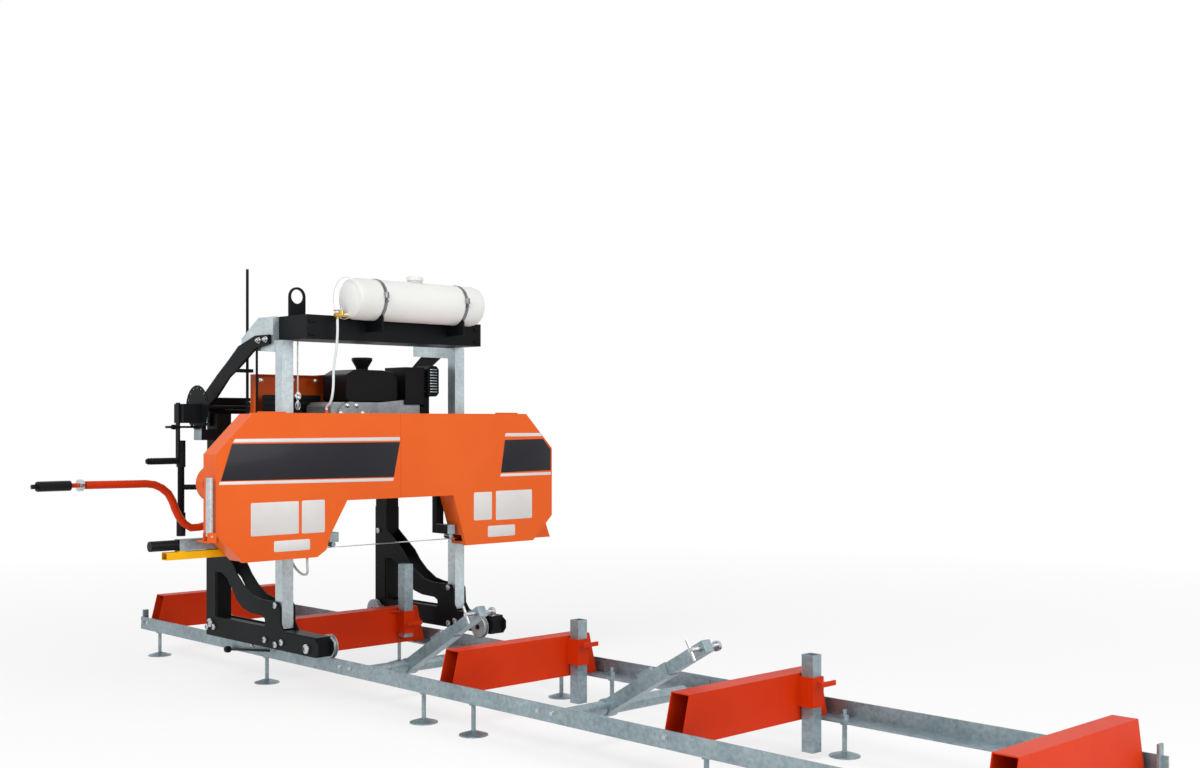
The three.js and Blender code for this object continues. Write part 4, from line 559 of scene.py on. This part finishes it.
def layCord(nodeName, extras=()):
    plan = cords[nodeName]
    bpy.ops.curve.primitive_bezier_curve_add()
    piece = bpy.context.object
    piece.name = nodeName + ".dressed"
    line = piece.data.splines[0]
    line.bezier_points.add(len(plan["route"]) - len(line.bezier_points))
    for knot, spot in zip(line.bezier_points, plan["route"]):
        knot.co = Vector(spot) * mm
        knot.handle_left_type = "AUTO"
        knot.handle_right_type = "AUTO"
    piece.data.bevel_depth = plan["width"] * mm / 2
    piece.data.bevel_resolution = cordFineness["round"]
    piece.data.resolution_u = cordFineness["along"]
    piece.data.use_fill_caps = True
    piece.data.materials.append(materials[plan["finish"]])
    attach(piece, cadNodes[nodeName]["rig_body"])
    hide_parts(nodeName)
    return piece


hoistEnd = {
    "sides": 20,
    "sleeveRadius": 6.0, "sleeveFrom": 1158.0, "sleeveLong": 22.0, "sleeveEdge": 0.8,
    "shankRadius": 4.0, "shankFrom": 1112.6, "shankLong": 45.6, "shankEdge": 0.6,
}


def makeHoistEnd():
    across = cords["hoist_cable"]["route"][0][:2]
    sides = hoistEnd["sides"]
    sleeve = bar(hoistEnd["sleeveRadius"], hoistEnd["sleeveLong"], sides, hoistEnd["sleeveEdge"])
    setDown(sleeve, (*across, hoistEnd["sleeveFrom"]))
    shank = bar(hoistEnd["shankRadius"], hoistEnd["shankLong"], sides, hoistEnd["shankEdge"])
    setDown(shank, (*across, hoistEnd["shankFrom"]))
    piece = joinAll([sleeve, shank])
    body = cadNodes["hoist_cable"]["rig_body"]
    return finishPiece(piece, "hoistEnd", body, "steel")


layCord("tank_hose")
layCord("lube_line")
layCord("hoist_cable", [makeHoistEnd()])
print("cords laid:", len(cords))


# bands, stripes and bare panels on the doors
doorFace = {
    "x": -733.5, "bandProud": 0.4, "bandEdge": 0.12,
    "panelProud": 0.35, "panelEdge": 0.1, "panelCorner": 6.0,
}
doorBands = {
    "bandLeft": ("door_left_body", "blackBand", [(-753, 987), (-4, 986), (-34, 847), (-798, 853)]),
    "stripeLeftTop": ("door_left_body", "paleVinyl", [(-741, 1005), (-4, 1006), (-4, 992), (-749, 992)]),
    "stripeLeftLow": ("door_left_body", "paleVinyl", [(-802, 850), (-34, 843), (-38, 831), (-806, 839)]),
    "bandRight": ("door_right_body", "blackBand",
                  [(546, 989), (765, 992), (810, 945), (810, 853), (524, 850)]),
    "stripeRightTop": ("door_right_body", "paleVinyl",
                       [(546, 1004), (762, 1004), (748, 1018), (550, 1018)]),
    "stripeRightLow": ("door_right_body", "paleVinyl", [(520, 833), (811, 833), (811, 845), (523, 845)]),
}
doorPanels = {
    "panelLeftA": ("door_left_body", (-676, -472), (645, 768)),
    "panelLeftB": ("door_left_body", (-459, -357), (644, 769)),
    "panelLeftC": ("door_left_body", (-579, -423), (581, 622)),
    "panelRightA": ("door_right_body", (376, 474), (652, 770)),
    "panelRightB": ("door_right_body", (496, 700), (648, 772)),
    "panelRightC": ("door_right_body", (452, 603), (578, 625)),
}


def roundedCorners(acrossSpan, upSpan, radius):
    outline = []
    for across, up, start in (
        (acrossSpan[1] - radius, upSpan[1] - radius, 0),
        (acrossSpan[0] + radius, upSpan[1] - radius, 90),
        (acrossSpan[0] + radius, upSpan[0] + radius, 180),
        (acrossSpan[1] - radius, upSpan[0] + radius, 270),
    ):
        for step in (0, 30, 60, 90):
            angle = math.radians(start + step)
            outline.append((across + radius * math.cos(angle), up + radius * math.sin(angle)))
    return outline


def ontoDoor(piece):
    piece.matrix_world = Matrix.Translation((doorFace["x"] * mm, 0.0, 0.0)) @ sideOn
    return piece


for bandName, (bandBody, bandFinish, bandOutline) in doorBands.items():
    band = flatPiece(bandOutline, doorFace["bandProud"], doorFace["bandEdge"])
    finishPiece(ontoDoor(band), bandName, bandBody, bandFinish)
for panelName, (panelBody, acrossSpan, upSpan) in doorPanels.items():
    panelOutline = roundedCorners(acrossSpan, upSpan, doorFace["panelCorner"])
    panel = flatPiece(panelOutline, doorFace["panelProud"], doorFace["panelEdge"])
    finishPiece(ontoDoor(panel), panelName, panelBody, "paleVinyl")
print("door bands and panels added")


# fasteners: each kind is modelled once and copied
domeBolt = {
    "washerShare": 1.35, "washerTall": 1.6, "washerSides": 28, "washerEdge": 0.4,
    "headSides": 24, "headEdge": 0.3, "roundShare": 0.7, "roundSteps": 5, "seat": 1.2,
}
hexBolt = {
    "washerShare": 0.72, "washerTall": 1.6, "washerSides": 28, "washerEdge": 0.3,
    "headSides": 6, "headEdge": 0.6, "stubShare": 0.3, "stubSides": 16, "stubEdge": 0.5, "seat": 1.3,
}


def makeDomeBolt(radius, tall):
    washerRadius = radius * domeBolt["washerShare"]
    washer = bar(washerRadius, domeBolt["washerTall"], domeBolt["washerSides"], domeBolt["washerEdge"])
    head = bar(radius, tall, domeBolt["headSides"], domeBolt["headEdge"])
    editAll(head)
    bpy.ops.mesh.select_all(action="DESELECT")
    leaveEdit()
    for face in head.data.polygons:
        face.select = face.normal.z > 0.9
    bpy.ops.object.mode_set(mode="EDIT")
    bpy.ops.mesh.select_mode(type="FACE")
    rounded = tall * domeBolt["roundShare"] * mm
    bpy.ops.mesh.bevel(offset=rounded, segments=domeBolt["roundSteps"], affect="EDGES")
    bpy.ops.mesh.select_all(action="DESELECT")
    leaveEdit()
    head.location = (0.0, 0.0, domeBolt["seat"] * mm)
    return joinAll([head, washer])


def makeHexBolt(flats, tall, shank=0.0):
    washerRadius = flats * hexBolt["washerShare"]
    washer = bar(washerRadius, hexBolt["washerTall"], hexBolt["washerSides"], hexBolt["washerEdge"])
    head = bar(flats / math.sqrt(3.0), tall, hexBolt["headSides"], hexBolt["headEdge"])
    head.location = (0.0, 0.0, hexBolt["seat"] * mm)
    pieces = [head, washer]
    if shank:
        stubRadius = flats * hexBolt["stubShare"]
        stub = bar(stubRadius, tall + shank, hexBolt["stubSides"], hexBolt["stubEdge"])
        stub.location = (0.0, 0.0, hexBolt["seat"] * mm)
        pieces.append(stub)
    return joinAll(pieces)


fasteners = {
    "domeLarge": makeDomeBolt(13.0, 8.0),
    "domeSmall": makeDomeBolt(8.5, 6.0),
    "hexSmall": makeHexBolt(13.0, 5.5),
    "hexLong": makeHexBolt(17.0, 8.0, 6.0),
}


def placeFastener(kind, spot, direction, spin=0.0):
    return setDown(copyOf(fasteners[kind]), spot, direction, spin)


# (x, z) of the bolts in a cheek, of the axles and of the rail's bolts
cheekSpots = [(-1457, 215), (-1401, 221), (-922, 354), (-921, 201), (-876, 215), (-1440, 570)]
axleSpots = [(-699, 211), (-1430, 235)]
railSpots = [
    (-2215, 150), (-2166, 150), (-1247, 150), (-1087, 158), (-609, 146), (-542, 146),
    (517, 146), (583, 146), (1075, 150), (2120, 150), (2180, 150),
]
# name: kind, body, the side that the heads face, y, turn and places
fastenerGroups = {
    "cheekBolts": ("domeSmall", "carriage", -1.0, -459, 0, cheekSpots + [(-1000, 212)]),
    "cheekInnerBolts": ("domeSmall", "carriage", -1.0, 389, 0, cheekSpots[1:]),
    "cheekRearBolts": ("domeSmall", "carriage", 1.0, 459, 0, cheekSpots),
    "axleBolts": ("domeLarge", "carriage", -1.0, -459, 0, axleSpots),
    "axleRearBolts": ("domeLarge", "carriage", 1.0, 459, 0, axleSpots),
    "railBolts": ("hexSmall", "track", -1.0, -371, 15, railSpots),
    "railRearBolts": ("hexSmall", "track", 1.0, 371, 15, railSpots),
}
for groupName, (kind, body, side, across, spin, spots) in fastenerGroups.items():
    bolts = [placeFastener(kind, (x, across, z), (0.0, side, 0.0), spin) for x, z in spots]
    finishPiece(joinAll(bolts), groupName, body, "steel")
print("fasteners added")


# straps that hold the water tank, each with its buckle and screw
strap = {
    "x": -700.0, "z": 1545.0, "radius": 82.2, "wide": 15.0, "thick": 1.2, "edge": 0.3,
    "sides": 56, "stations": (-152.0, 248.0),
}
buckle = {
    "outline": [(-11, -9), (11, -9), (13, -5), (13, 5), (11, 9), (-11, 9), (-13, 5), (-13, -5)],
    "tall": 6.0, "edge": 0.8, "proud": 1.0, "rise": 14.0, "facing": (1.0, 0.0, 0.1),
}
strapScrew = {
    "proud": 6.5, "along": (-0.05, 0.0, 1.0),
    "radius": 4.0, "long": 34.0, "sides": 16, "edge": 0.8, "from": -6.0,
    "headRadius": 6.0, "headTall": 6.0, "headSides": 6, "headEdge": 0.7, "headFrom": -12.0,
}


def makeStrap():
    bpy.ops.mesh.primitive_cylinder_add(
        vertices=strap["sides"], radius=strap["radius"] * mm, depth=strap["wide"] * mm,
        end_fill_type="NOTHING",
    )
    band = bpy.context.object
    alone(band)
    sheet = band.modifiers.new("sheet", "SOLIDIFY")
    sheet.thickness = strap["thick"] * mm
    sheet.offset = 1.0
    bpy.ops.object.modifier_apply(modifier=sheet.name)
    softenEdges(band, strap["edge"] * mm)
    band.rotation_euler = (math.radians(90), 0.0, 0.0)
    box = flatPiece(buckle["outline"], buckle["tall"], buckle["edge"])
    setDown(box, (strap["radius"] + buckle["proud"], 0.0, buckle["rise"]), buckle["facing"], 90)
    screwAway = strap["radius"] + strapScrew["proud"]
    screw = bar(strapScrew["radius"], strapScrew["long"], strapScrew["sides"], strapScrew["edge"])
    setDown(screw, (screwAway, 0.0, strapScrew["from"]), strapScrew["along"])
    head = bar(
        strapScrew["headRadius"], strapScrew["headTall"], strapScrew["headSides"], strapScrew["headEdge"]
    )
    setDown(head, (screwAway, 0.0, strapScrew["headFrom"]), strapScrew["along"])
    return joinAll([band, box, screw, head])


strapModel = makeStrap()
# the straps take the darkened steel copy, painted dark reflection
for number, station in enumerate(strap["stations"]):
    held = copyOf(strapModel)
    held.matrix_world = Matrix.Translation((strap["x"] * mm, station * mm, strap["z"] * mm))
    finishPiece(held, "tankStrap" + str(number + 1), "carriage", "strapSteelPaintedReflection")
bpy.data.objects.remove(strapModel)

# moulded seams of the tank, the collar under its cap and the cap's ribs
tankSeam = {"ends": (-288.0, 320.0), "radius": 80.9, "thick": 1.4, "sides": 64, "turns": 8}
tankCollar = {"across": 45.0, "z": 1627.5, "radius": 28.0, "thick": 2.2, "sides": 40, "turns": 8}
capRib = {
    "count": 30, "reach": 33.2, "low": 1633.5, "tall": 15.0, "radius": 1.3, "sides": 10, "edge": 0.4,
}
seams = []
for end in tankSeam["ends"]:
    seam = ringPiece(tankSeam["radius"], tankSeam["thick"], tankSeam["sides"], tankSeam["turns"])
    seams.append(setDown(seam, (strap["x"], end, strap["z"]), (0.0, 1.0, 0.0)))
collar = ringPiece(tankCollar["radius"], tankCollar["thick"], tankCollar["sides"], tankCollar["turns"])
seams.append(setDown(collar, (strap["x"], tankCollar["across"], tankCollar["z"])))
finishPiece(joinAll(seams), "tankSeams", "carriage", "tankPlastic")
capRibModel = bar(capRib["radius"], capRib["tall"], capRib["sides"], capRib["edge"])
capRibs = []
for number in range(capRib["count"]):
    angle = 2.0 * math.pi * number / capRib["count"]
    x = strap["x"] + capRib["reach"] * math.cos(angle)
    across = tankCollar["across"] + capRib["reach"] * math.sin(angle)
    capRibs.append(setDown(copyOf(capRibModel), (x, across, capRib["low"])))
bpy.data.objects.remove(capRibModel)
finishPiece(joinAll(capRibs), "tankCapRibs", "tank_cap_body", "tankPlastic")
print("tank details added")

# slots of the exhaust guard: pale steel slats on its two outer sides are painted light, standing for the
# light that shows through the slots
louvres = {
    "low": 1196.0, "pitch": 12.0, "count": 9, "halfTall": 2.2, "corner": 2.0, "proud": 1.6, "edge": 0.5,
    "sideHalf": 32.0, "sidePlace": (-1034.0, 326.2), "frontHalf": 19.0, "frontPlace": (-985.2, 356.0),
}
facingAcross = Matrix(((1, 0, 0), (0, 0, -1), (0, 1, 0))).to_4x4()


def makeSlotLight(half):
    spans = ((-half, half), (-louvres["halfTall"], louvres["halfTall"]))
    return flatPiece(roundedCorners(*spans, louvres["corner"]), louvres["proud"], louvres["edge"])


sideSlotLight = makeSlotLight(louvres["sideHalf"])
frontSlotLight = makeSlotLight(louvres["frontHalf"])
slotLights = []
for number in range(louvres["count"]):
    level = louvres["low"] + number * louvres["pitch"]
    for model, place, turned in (
        (sideSlotLight, louvres["sidePlace"], facingAcross), (frontSlotLight, louvres["frontPlace"], sideOn)
    ):
        slotLight = copyOf(model)
        slotLight.matrix_world = Matrix.Translation(Vector((*place, level)) * mm) @ turned
        slotLights.append(slotLight)
for model in (sideSlotLight, frontSlotLight):
    bpy.data.objects.remove(model)
# bright steel pieces in the slots: painted light
finishPiece(joinAll(slotLights), "mufflerSlotLight", "head", "steel")

# cooling fins of the cylinder and bolts of the crankcase cover
finSizes = {
    "count": 9, "first": 158.0, "pitch": 7.0, "thick": 2.2, "edge": 0.5,
    "outline": [(-1134, 1000), (-1004, 1000), (-994, 1012), (-994, 1084), (-1006, 1098), (-1134, 1098)],
}
coverRing = {"count": 8, "x": -989.8, "across": -60.0, "z": 1080.0, "radius": 58.0, "spin": 10}
uprightFin = Matrix(((1, 0, 0), (0, 0, 1), (0, 1, 0))).to_4x4()
finModel = flatPiece(finSizes["outline"], finSizes["thick"], finSizes["edge"])
fins = []
for number in range(finSizes["count"]):
    station = finSizes["first"] + number * finSizes["pitch"]
    fin = copyOf(finModel)
    fin.matrix_world = Matrix.Translation((0.0, station * mm, 0.0)) @ uprightFin
    fins.append(fin)
bpy.data.objects.remove(finModel)
finishPiece(joinAll(fins), "cylinderFins", "head", "castMetal")
coverBolts = []
for number in range(coverRing["count"]):
    angle = 2.0 * math.pi * (number + 0.5) / coverRing["count"]
    across = coverRing["across"] + coverRing["radius"] * math.cos(angle)
    up = coverRing["z"] + coverRing["radius"] * math.sin(angle)
    spin = coverRing["spin"] * number
    coverBolts.append(placeFastener("hexSmall", (coverRing["x"], across, up), (1.0, 0.0, 0.0), spin))
finishPiece(joinAll(coverBolts), "engineCoverBolts", "head", "steel")
print("engine details added")

# rope on the winch drum
rope = {
    "x": -1405.0, "z": 1126.0, "from": -294.0, "pitch": 4.6, "turns": 9, "radius": 19.6, "thick": 2.4,
    "sides": 40, "roundSides": 8, "lean": (0.0, 1.0, 0.02),
}
coils = []
for number in range(rope["turns"]):
    coil = ringPiece(rope["radius"], rope["thick"], rope["sides"], rope["roundSides"])
    station = rope["from"] + number * rope["pitch"]
    coils.append(setDown(coil, (rope["x"], station, rope["z"]), rope["lean"]))
finishPiece(joinAll(coils), "drumRope", "winch_crank_body", "steel")

# shackle where the hoist cable meets the head, with its cable clamp
shackle = {
    "x": -915.0, "y": -364.0, "z": 1122.0, "bowRadius": 13.0, "bowThick": 2.6, "bowSides": 36,
    "bowTurns": 10, "bowScale": (0.8, 1.25, 1.0), "bowRise": 8.0,
    "clampHalf": 8.0, "clampTall": 13.0, "clampCorner": 4.0, "clampThick": 9.0, "clampEdge": 1.2,
    "clampBack": -4.5, "clampRise": 46.0, "nutFront": 4.4, "nutRises": (40.0, 54.0),
}


def makeShackle():
    front = (1.0, 0.0, 0.0)
    bow = ringPiece(shackle["bowRadius"], shackle["bowThick"], shackle["bowSides"], shackle["bowTurns"])
    bow.scale = shackle["bowScale"]
    toOrigin(bow)
    setDown(bow, (shackle["x"], shackle["y"], shackle["z"] + shackle["bowRise"]), front)
    half, tall = shackle["clampHalf"], shackle["clampTall"]
    clampOutline = roundedCorners((-half, half), (-tall, tall), shackle["clampCorner"])
    clampBody = flatPiece(clampOutline, shackle["clampThick"], shackle["clampEdge"])
    clampSpot = (shackle["x"] + shackle["clampBack"], shackle["y"], shackle["z"] + shackle["clampRise"])
    setDown(clampBody, clampSpot, front, 90)
    nutX = shackle["x"] + shackle["nutFront"]
    nuts = [
        placeFastener("hexSmall", (nutX, shackle["y"], shackle["z"] + rise), front)
        for rise in shackle["nutRises"]
    ]
    return joinAll([bow, clampBody, *nuts])


finishPiece(makeShackle(), "hoistShackle", "head", "steel")
print("hoist details added")

# ribs of the two hand grips
gripRibs = {
    "pushGripRibs": {"count": 14, "radius": 17.6, "thick": 1.2, "sides": 32, "turns": 8, "pitch": 8.0,
                     "place": (-1460.0, -1066.0, 820.0), "body": "carriage"},
    "crankGripRibs": {"count": 12, "radius": 13.0, "thick": 0.9, "sides": 28, "turns": 8, "pitch": 8.0,
                      "place": (-1405.0, -644.0, 909.0), "body": "crank_grip_body"},
}
for ribsName, grip in gripRibs.items():
    x, across, up = grip["place"]
    ribs = []
    for number in range(grip["count"]):
        ring = ringPiece(grip["radius"], grip["thick"], grip["sides"], grip["turns"])
        ribs.append(setDown(ring, (x, across - number * grip["pitch"], up), (0.0, 1.0, 0.0)))
    finishPiece(joinAll(ribs), ribsName, grip["body"], "blackPlastic")

# locking pin of the carriage with its knob, laid along the front rail
lockPin = {
    "from": (-1400.0, -392.0, 120.0), "to": (-1100.0, -392.0, 150.0),
    "radius": 5.0, "long": 320.0, "sides": 16, "edge": 0.8,
    "knobRadius": 14.0, "knobLong": 26.0, "knobSides": 28, "knobEdge": 5.0, "knobBack": 22.0,
}
pinFrom = Vector(lockPin["from"])
pinAlong = Vector(lockPin["to"]) - pinFrom
pinRod = bar(lockPin["radius"], lockPin["long"], lockPin["sides"], lockPin["edge"])
setDown(pinRod, pinFrom, pinAlong)
knob = bar(lockPin["knobRadius"], lockPin["knobLong"], lockPin["knobSides"], lockPin["knobEdge"])
setDown(knob, pinFrom - pinAlong.normalized() * lockPin["knobBack"], pinAlong)
finishPiece(joinAll([pinRod, knob]), "railLockPin", "track", "blackPlastic")
print("grips and pin added")

# teeth along the cutting edge of the band's lower run
teeth = {
    "from": -262.0, "pitch": 11.0, "count": 47, "x": -766.0, "z": 578.6, "thick": 1.0, "edge": 0.1,
    "gullet": 2.0, "strip": 6.0, "deep": 5.0, "tipRun": 1.0, "backRun": 5.0, "backShare": 0.3,
}
bandEnd = teeth["from"] + teeth["count"] * teeth["pitch"]
toothOutline = []
for number in range(teeth["count"]):
    start = teeth["from"] + number * teeth["pitch"]
    toothOutline += [
        (teeth["x"] - teeth["gullet"], start),
        (teeth["x"] + teeth["deep"], start + teeth["tipRun"]),
        (teeth["x"] + teeth["deep"] * teeth["backShare"], start + teeth["backRun"]),
    ]
toothOutline += [
    (teeth["x"] - teeth["gullet"], bandEnd),
    (teeth["x"] - teeth["strip"], bandEnd),
    (teeth["x"] - teeth["strip"], teeth["from"]),
]
teethPiece = flatPiece(toothOutline, teeth["thick"], teeth["edge"])
teethPiece.matrix_world = Matrix.Translation((0.0, 0.0, teeth["z"] * mm))
finishPiece(teethPiece, "bandTeeth", "head", "steel")
print("band teeth added")

# dark ribbed plate on the belt guard beside the engine, below its orange flange
darkPlate = {
    "x": -1214.7, "across": (-345.0, -66.0), "up": (1010.0, 1178.0),
    "corner": 8.0, "proud": 0.8, "edge": 0.2,
    "ribs": 7, "ribHalf": 132.0, "ribHalfTall": 3.0, "ribCorner": 2.8, "ribProud": 3.0, "ribEdge": 1.0,
    "ribFirst": 18.0, "ribPitch": 22.0,
}
darkPlateOutline = roundedCorners(darkPlate["across"], darkPlate["up"], darkPlate["corner"])
darkPlateSheet = flatPiece(darkPlateOutline, darkPlate["proud"], darkPlate["edge"])
darkPlateSheet.matrix_world = Matrix.Translation((darkPlate["x"] * mm, 0.0, 0.0)) @ sideOn
darkPlateMiddle = sum(darkPlate["across"]) / 2
darkPlateRibSpans = ((-darkPlate["ribHalf"], darkPlate["ribHalf"]), (-darkPlate["ribHalfTall"], darkPlate["ribHalfTall"]))
darkPlateRibModel = flatPiece(
    roundedCorners(*darkPlateRibSpans, darkPlate["ribCorner"]), darkPlate["ribProud"], darkPlate["ribEdge"]
)
darkPlatePieces = [darkPlateSheet]
for number in range(darkPlate["ribs"]):
    level = darkPlate["up"][0] + darkPlate["ribFirst"] + number * darkPlate["ribPitch"]
    rib = copyOf(darkPlateRibModel)
    rib.matrix_world = Matrix.Translation(Vector((darkPlate["x"], darkPlateMiddle, level)) * mm) @ sideOn
    darkPlatePieces.append(rib)
bpy.data.objects.remove(darkPlateRibModel)
finishPiece(joinAll(darkPlatePieces), "guardDarkPlate", "head", "blackPaint")

# bolts of the belt guard, the braces and the top beam
guardBolt = {
    "x": -1214.9,
    "spots": [(-590, 850), (-545, 762), (-455, 880), (-350, 1238), (-200, 1240), (-90, 1240), (60, 1190)],
}
guardBolts = [
    placeFastener("hexSmall", (guardBolt["x"], across, up), (1.0, 0.0, 0.0), across)
    for across, up in guardBolt["spots"]
]
finishPiece(joinAll(guardBolts), "guardBolts", "head", "steel")
braceBolt = {
    "across": 468.3, "spin": 20, "spots": [(-1444, 1075), (-1444, 1120), (-978, 1390), (-1030, 1388)],
}
braceBolts = [
    placeFastener("hexLong", (x, side * braceBolt["across"], z), (0.0, side, 0.0), braceBolt["spin"])
    for side in (-1.0, 1.0)
    for x, z in braceBolt["spots"]
]
finishPiece(joinAll(braceBolts), "braceBolts", "carriage", "steel")
beamBolt = {"x": -749.9, "spin": 15, "across": (-410, -396, 396, 410), "up": (1405, 1455)}
beamBolts = [
    placeFastener("hexSmall", (beamBolt["x"], across, up), (1.0, 0.0, 0.0), beamBolt["spin"])
    for across in beamBolt["across"]
    for up in beamBolt["up"]
]
finishPiece(joinAll(beamBolts), "beamBolts", "carriage", "blackPaint")
print("guard and frame bolts added")

# threads of the clamp screws: rings at the pitch of the screw
clampThread = {
    "radius": 7.7, "pitch": 2.6, "turns": 12, "thickShare": 0.32, "sides": 24, "roundSides": 6,
    "start": -120.0, "reach": 490.0, "axisHeight": 122.0, "swing": 30,
    "stations": {"far": -550.0, "near": 550.0},
}


def makeThread(start):
    rings = []
    away = Vector((0.0, -1.0, 0.0))
    for number in range(clampThread["turns"]):
        ring = ringPiece(
            clampThread["radius"], clampThread["pitch"] * clampThread["thickShare"],
            clampThread["sides"], clampThread["roundSides"],
        )
        rings.append(setDown(ring, start + away * clampThread["pitch"] * number, away))
    return joinAll(rings)


clampAngle = math.radians(clampThread["swing"])
for clampName, station in clampThread["stations"].items():
    x = station + clampThread["reach"] * math.cos(clampAngle)
    z = clampThread["axisHeight"] + clampThread["reach"] * math.sin(clampAngle)
    thread = makeThread(Vector((x, clampThread["start"], z)))
    finishPiece(thread, "clampThread" + clampName, "clamp_screw_" + clampName + "_body", "steel")
for model in fasteners.values():
    bpy.data.objects.remove(model)
print("threads added")


# floor, world and lamps
studio = {
    "floorRadius": 60.0, "floorSides": 96, "floorColour": (246, 246, 246), "worldShade": 0.5,
    "glowFrom": 1.8, "glowTo": 7.0, "glowNear": 0.72, "glowFar": 1.0,
    "lamps": {
        "keyLamp": {"place": (1.5, -6.0, 5.5), "aim": (-0.9, 0.0, 0.7), "size": 4.0, "power": 314.0},
        "fillLamp": {"place": (6.0, 0.5, 3.5), "aim": (-0.7, 0.0, 0.7), "size": 5.0, "power": 202.0},
    },
}


def lightPathMask(tree):
    path = tree.nodes.new("ShaderNodeLightPath")
    first = tree.nodes.new("ShaderNodeMath")
    second = tree.nodes.new("ShaderNodeMath")
    for step in (first, second):
        step.operation = "MAXIMUM"
    tree.links.new(path.outputs["Is Camera Ray"], first.inputs[0])
    tree.links.new(path.outputs["Is Glossy Ray"], first.inputs[1])
    tree.links.new(first.outputs["Value"], second.inputs[0])
    tree.links.new(path.outputs["Is Transmission Ray"], second.inputs[1])
    return second.outputs["Value"]


def makeWorld():
    world = bpy.data.worlds.new("studioWorld")
    world.use_nodes = True
    tree = world.node_tree
    tree.nodes.clear()
    seen = tree.nodes.new("ShaderNodeBackground")
    seen.inputs["Color"].default_value = (1.0, 1.0, 1.0, 1.0)
    lit = tree.nodes.new("ShaderNodeBackground")
    lit.inputs["Color"].default_value = (1.0, 1.0, 1.0, 1.0)
    lit.inputs["Strength"].default_value = studio["worldShade"]
    mix = tree.nodes.new("ShaderNodeMixShader")
    out = tree.nodes.new("ShaderNodeOutputWorld")
    tree.links.new(lightPathMask(tree), mix.inputs["Fac"])
    tree.links.new(lit.outputs["Background"], mix.inputs[1])
    tree.links.new(seen.outputs["Background"], mix.inputs[2])
    tree.links.new(mix.outputs["Shader"], out.inputs["Surface"])
    bpy.context.scene.world = world


def makeFloorMaterial():
    material = bpy.data.materials.new("paleFloor")
    material.use_nodes = True
    tree = material.node_tree
    tree.nodes.clear()
    lit = tree.nodes.new("ShaderNodeBsdfDiffuse")
    lit.inputs["Color"].default_value = colour(*studio["floorColour"])
    glow = tree.nodes.new("ShaderNodeEmission")
    glow.inputs["Color"].default_value = (1.0, 1.0, 1.0, 1.0)
    mask = tree.nodes.new("ShaderNodeMath")
    mask.operation = "MULTIPLY"
    place = tree.nodes.new("ShaderNodeTexCoord")
    length = tree.nodes.new("ShaderNodeVectorMath")
    length.operation = "LENGTH"
    away = tree.nodes.new("ShaderNodeMapRange")
    away.inputs["From Min"].default_value = studio["glowFrom"]
    away.inputs["From Max"].default_value = studio["glowTo"]
    away.inputs["To Min"].default_value = studio["glowNear"]
    away.inputs["To Max"].default_value = studio["glowFar"]
    mix = tree.nodes.new("ShaderNodeMixShader")
    out = tree.nodes.new("ShaderNodeOutputMaterial")
    tree.links.new(place.outputs["Object"], length.inputs[0])
    tree.links.new(length.outputs["Value"], away.inputs["Value"])
    tree.links.new(lightPathMask(tree), mask.inputs[0])
    tree.links.new(away.outputs["Result"], mask.inputs[1])
    tree.links.new(mask.outputs["Value"], mix.inputs["Fac"])
    tree.links.new(lit.outputs["BSDF"], mix.inputs[1])
    tree.links.new(glow.outputs["Emission"], mix.inputs[2])
    tree.links.new(mix.outputs["Shader"], out.inputs["Surface"])
    return material


def addLamp(name, lamp):
    data = bpy.data.lights.new(name, "AREA")
    data.shape = "DISK"
    data.size = lamp["size"]
    data.energy = lamp["power"]
    piece = bpy.data.objects.new(name, data)
    piece.location = lamp["place"]
    towards = Vector(lamp["aim"]) - Vector(lamp["place"])
    piece.rotation_euler = towards.to_track_quat("-Z", "Y").to_euler()
    bpy.context.scene.collection.objects.link(piece)


makeWorld()
bpy.ops.mesh.primitive_circle_add(
    vertices=studio["floorSides"], radius=studio["floorRadius"], fill_type="NGON"
)
floor = bpy.context.object
floor.name = "floor"
floor.data.materials.append(makeFloorMaterial())
for lampName, lamp in studio["lamps"].items():
    addLamp(lampName, lamp)
print("studio lit")
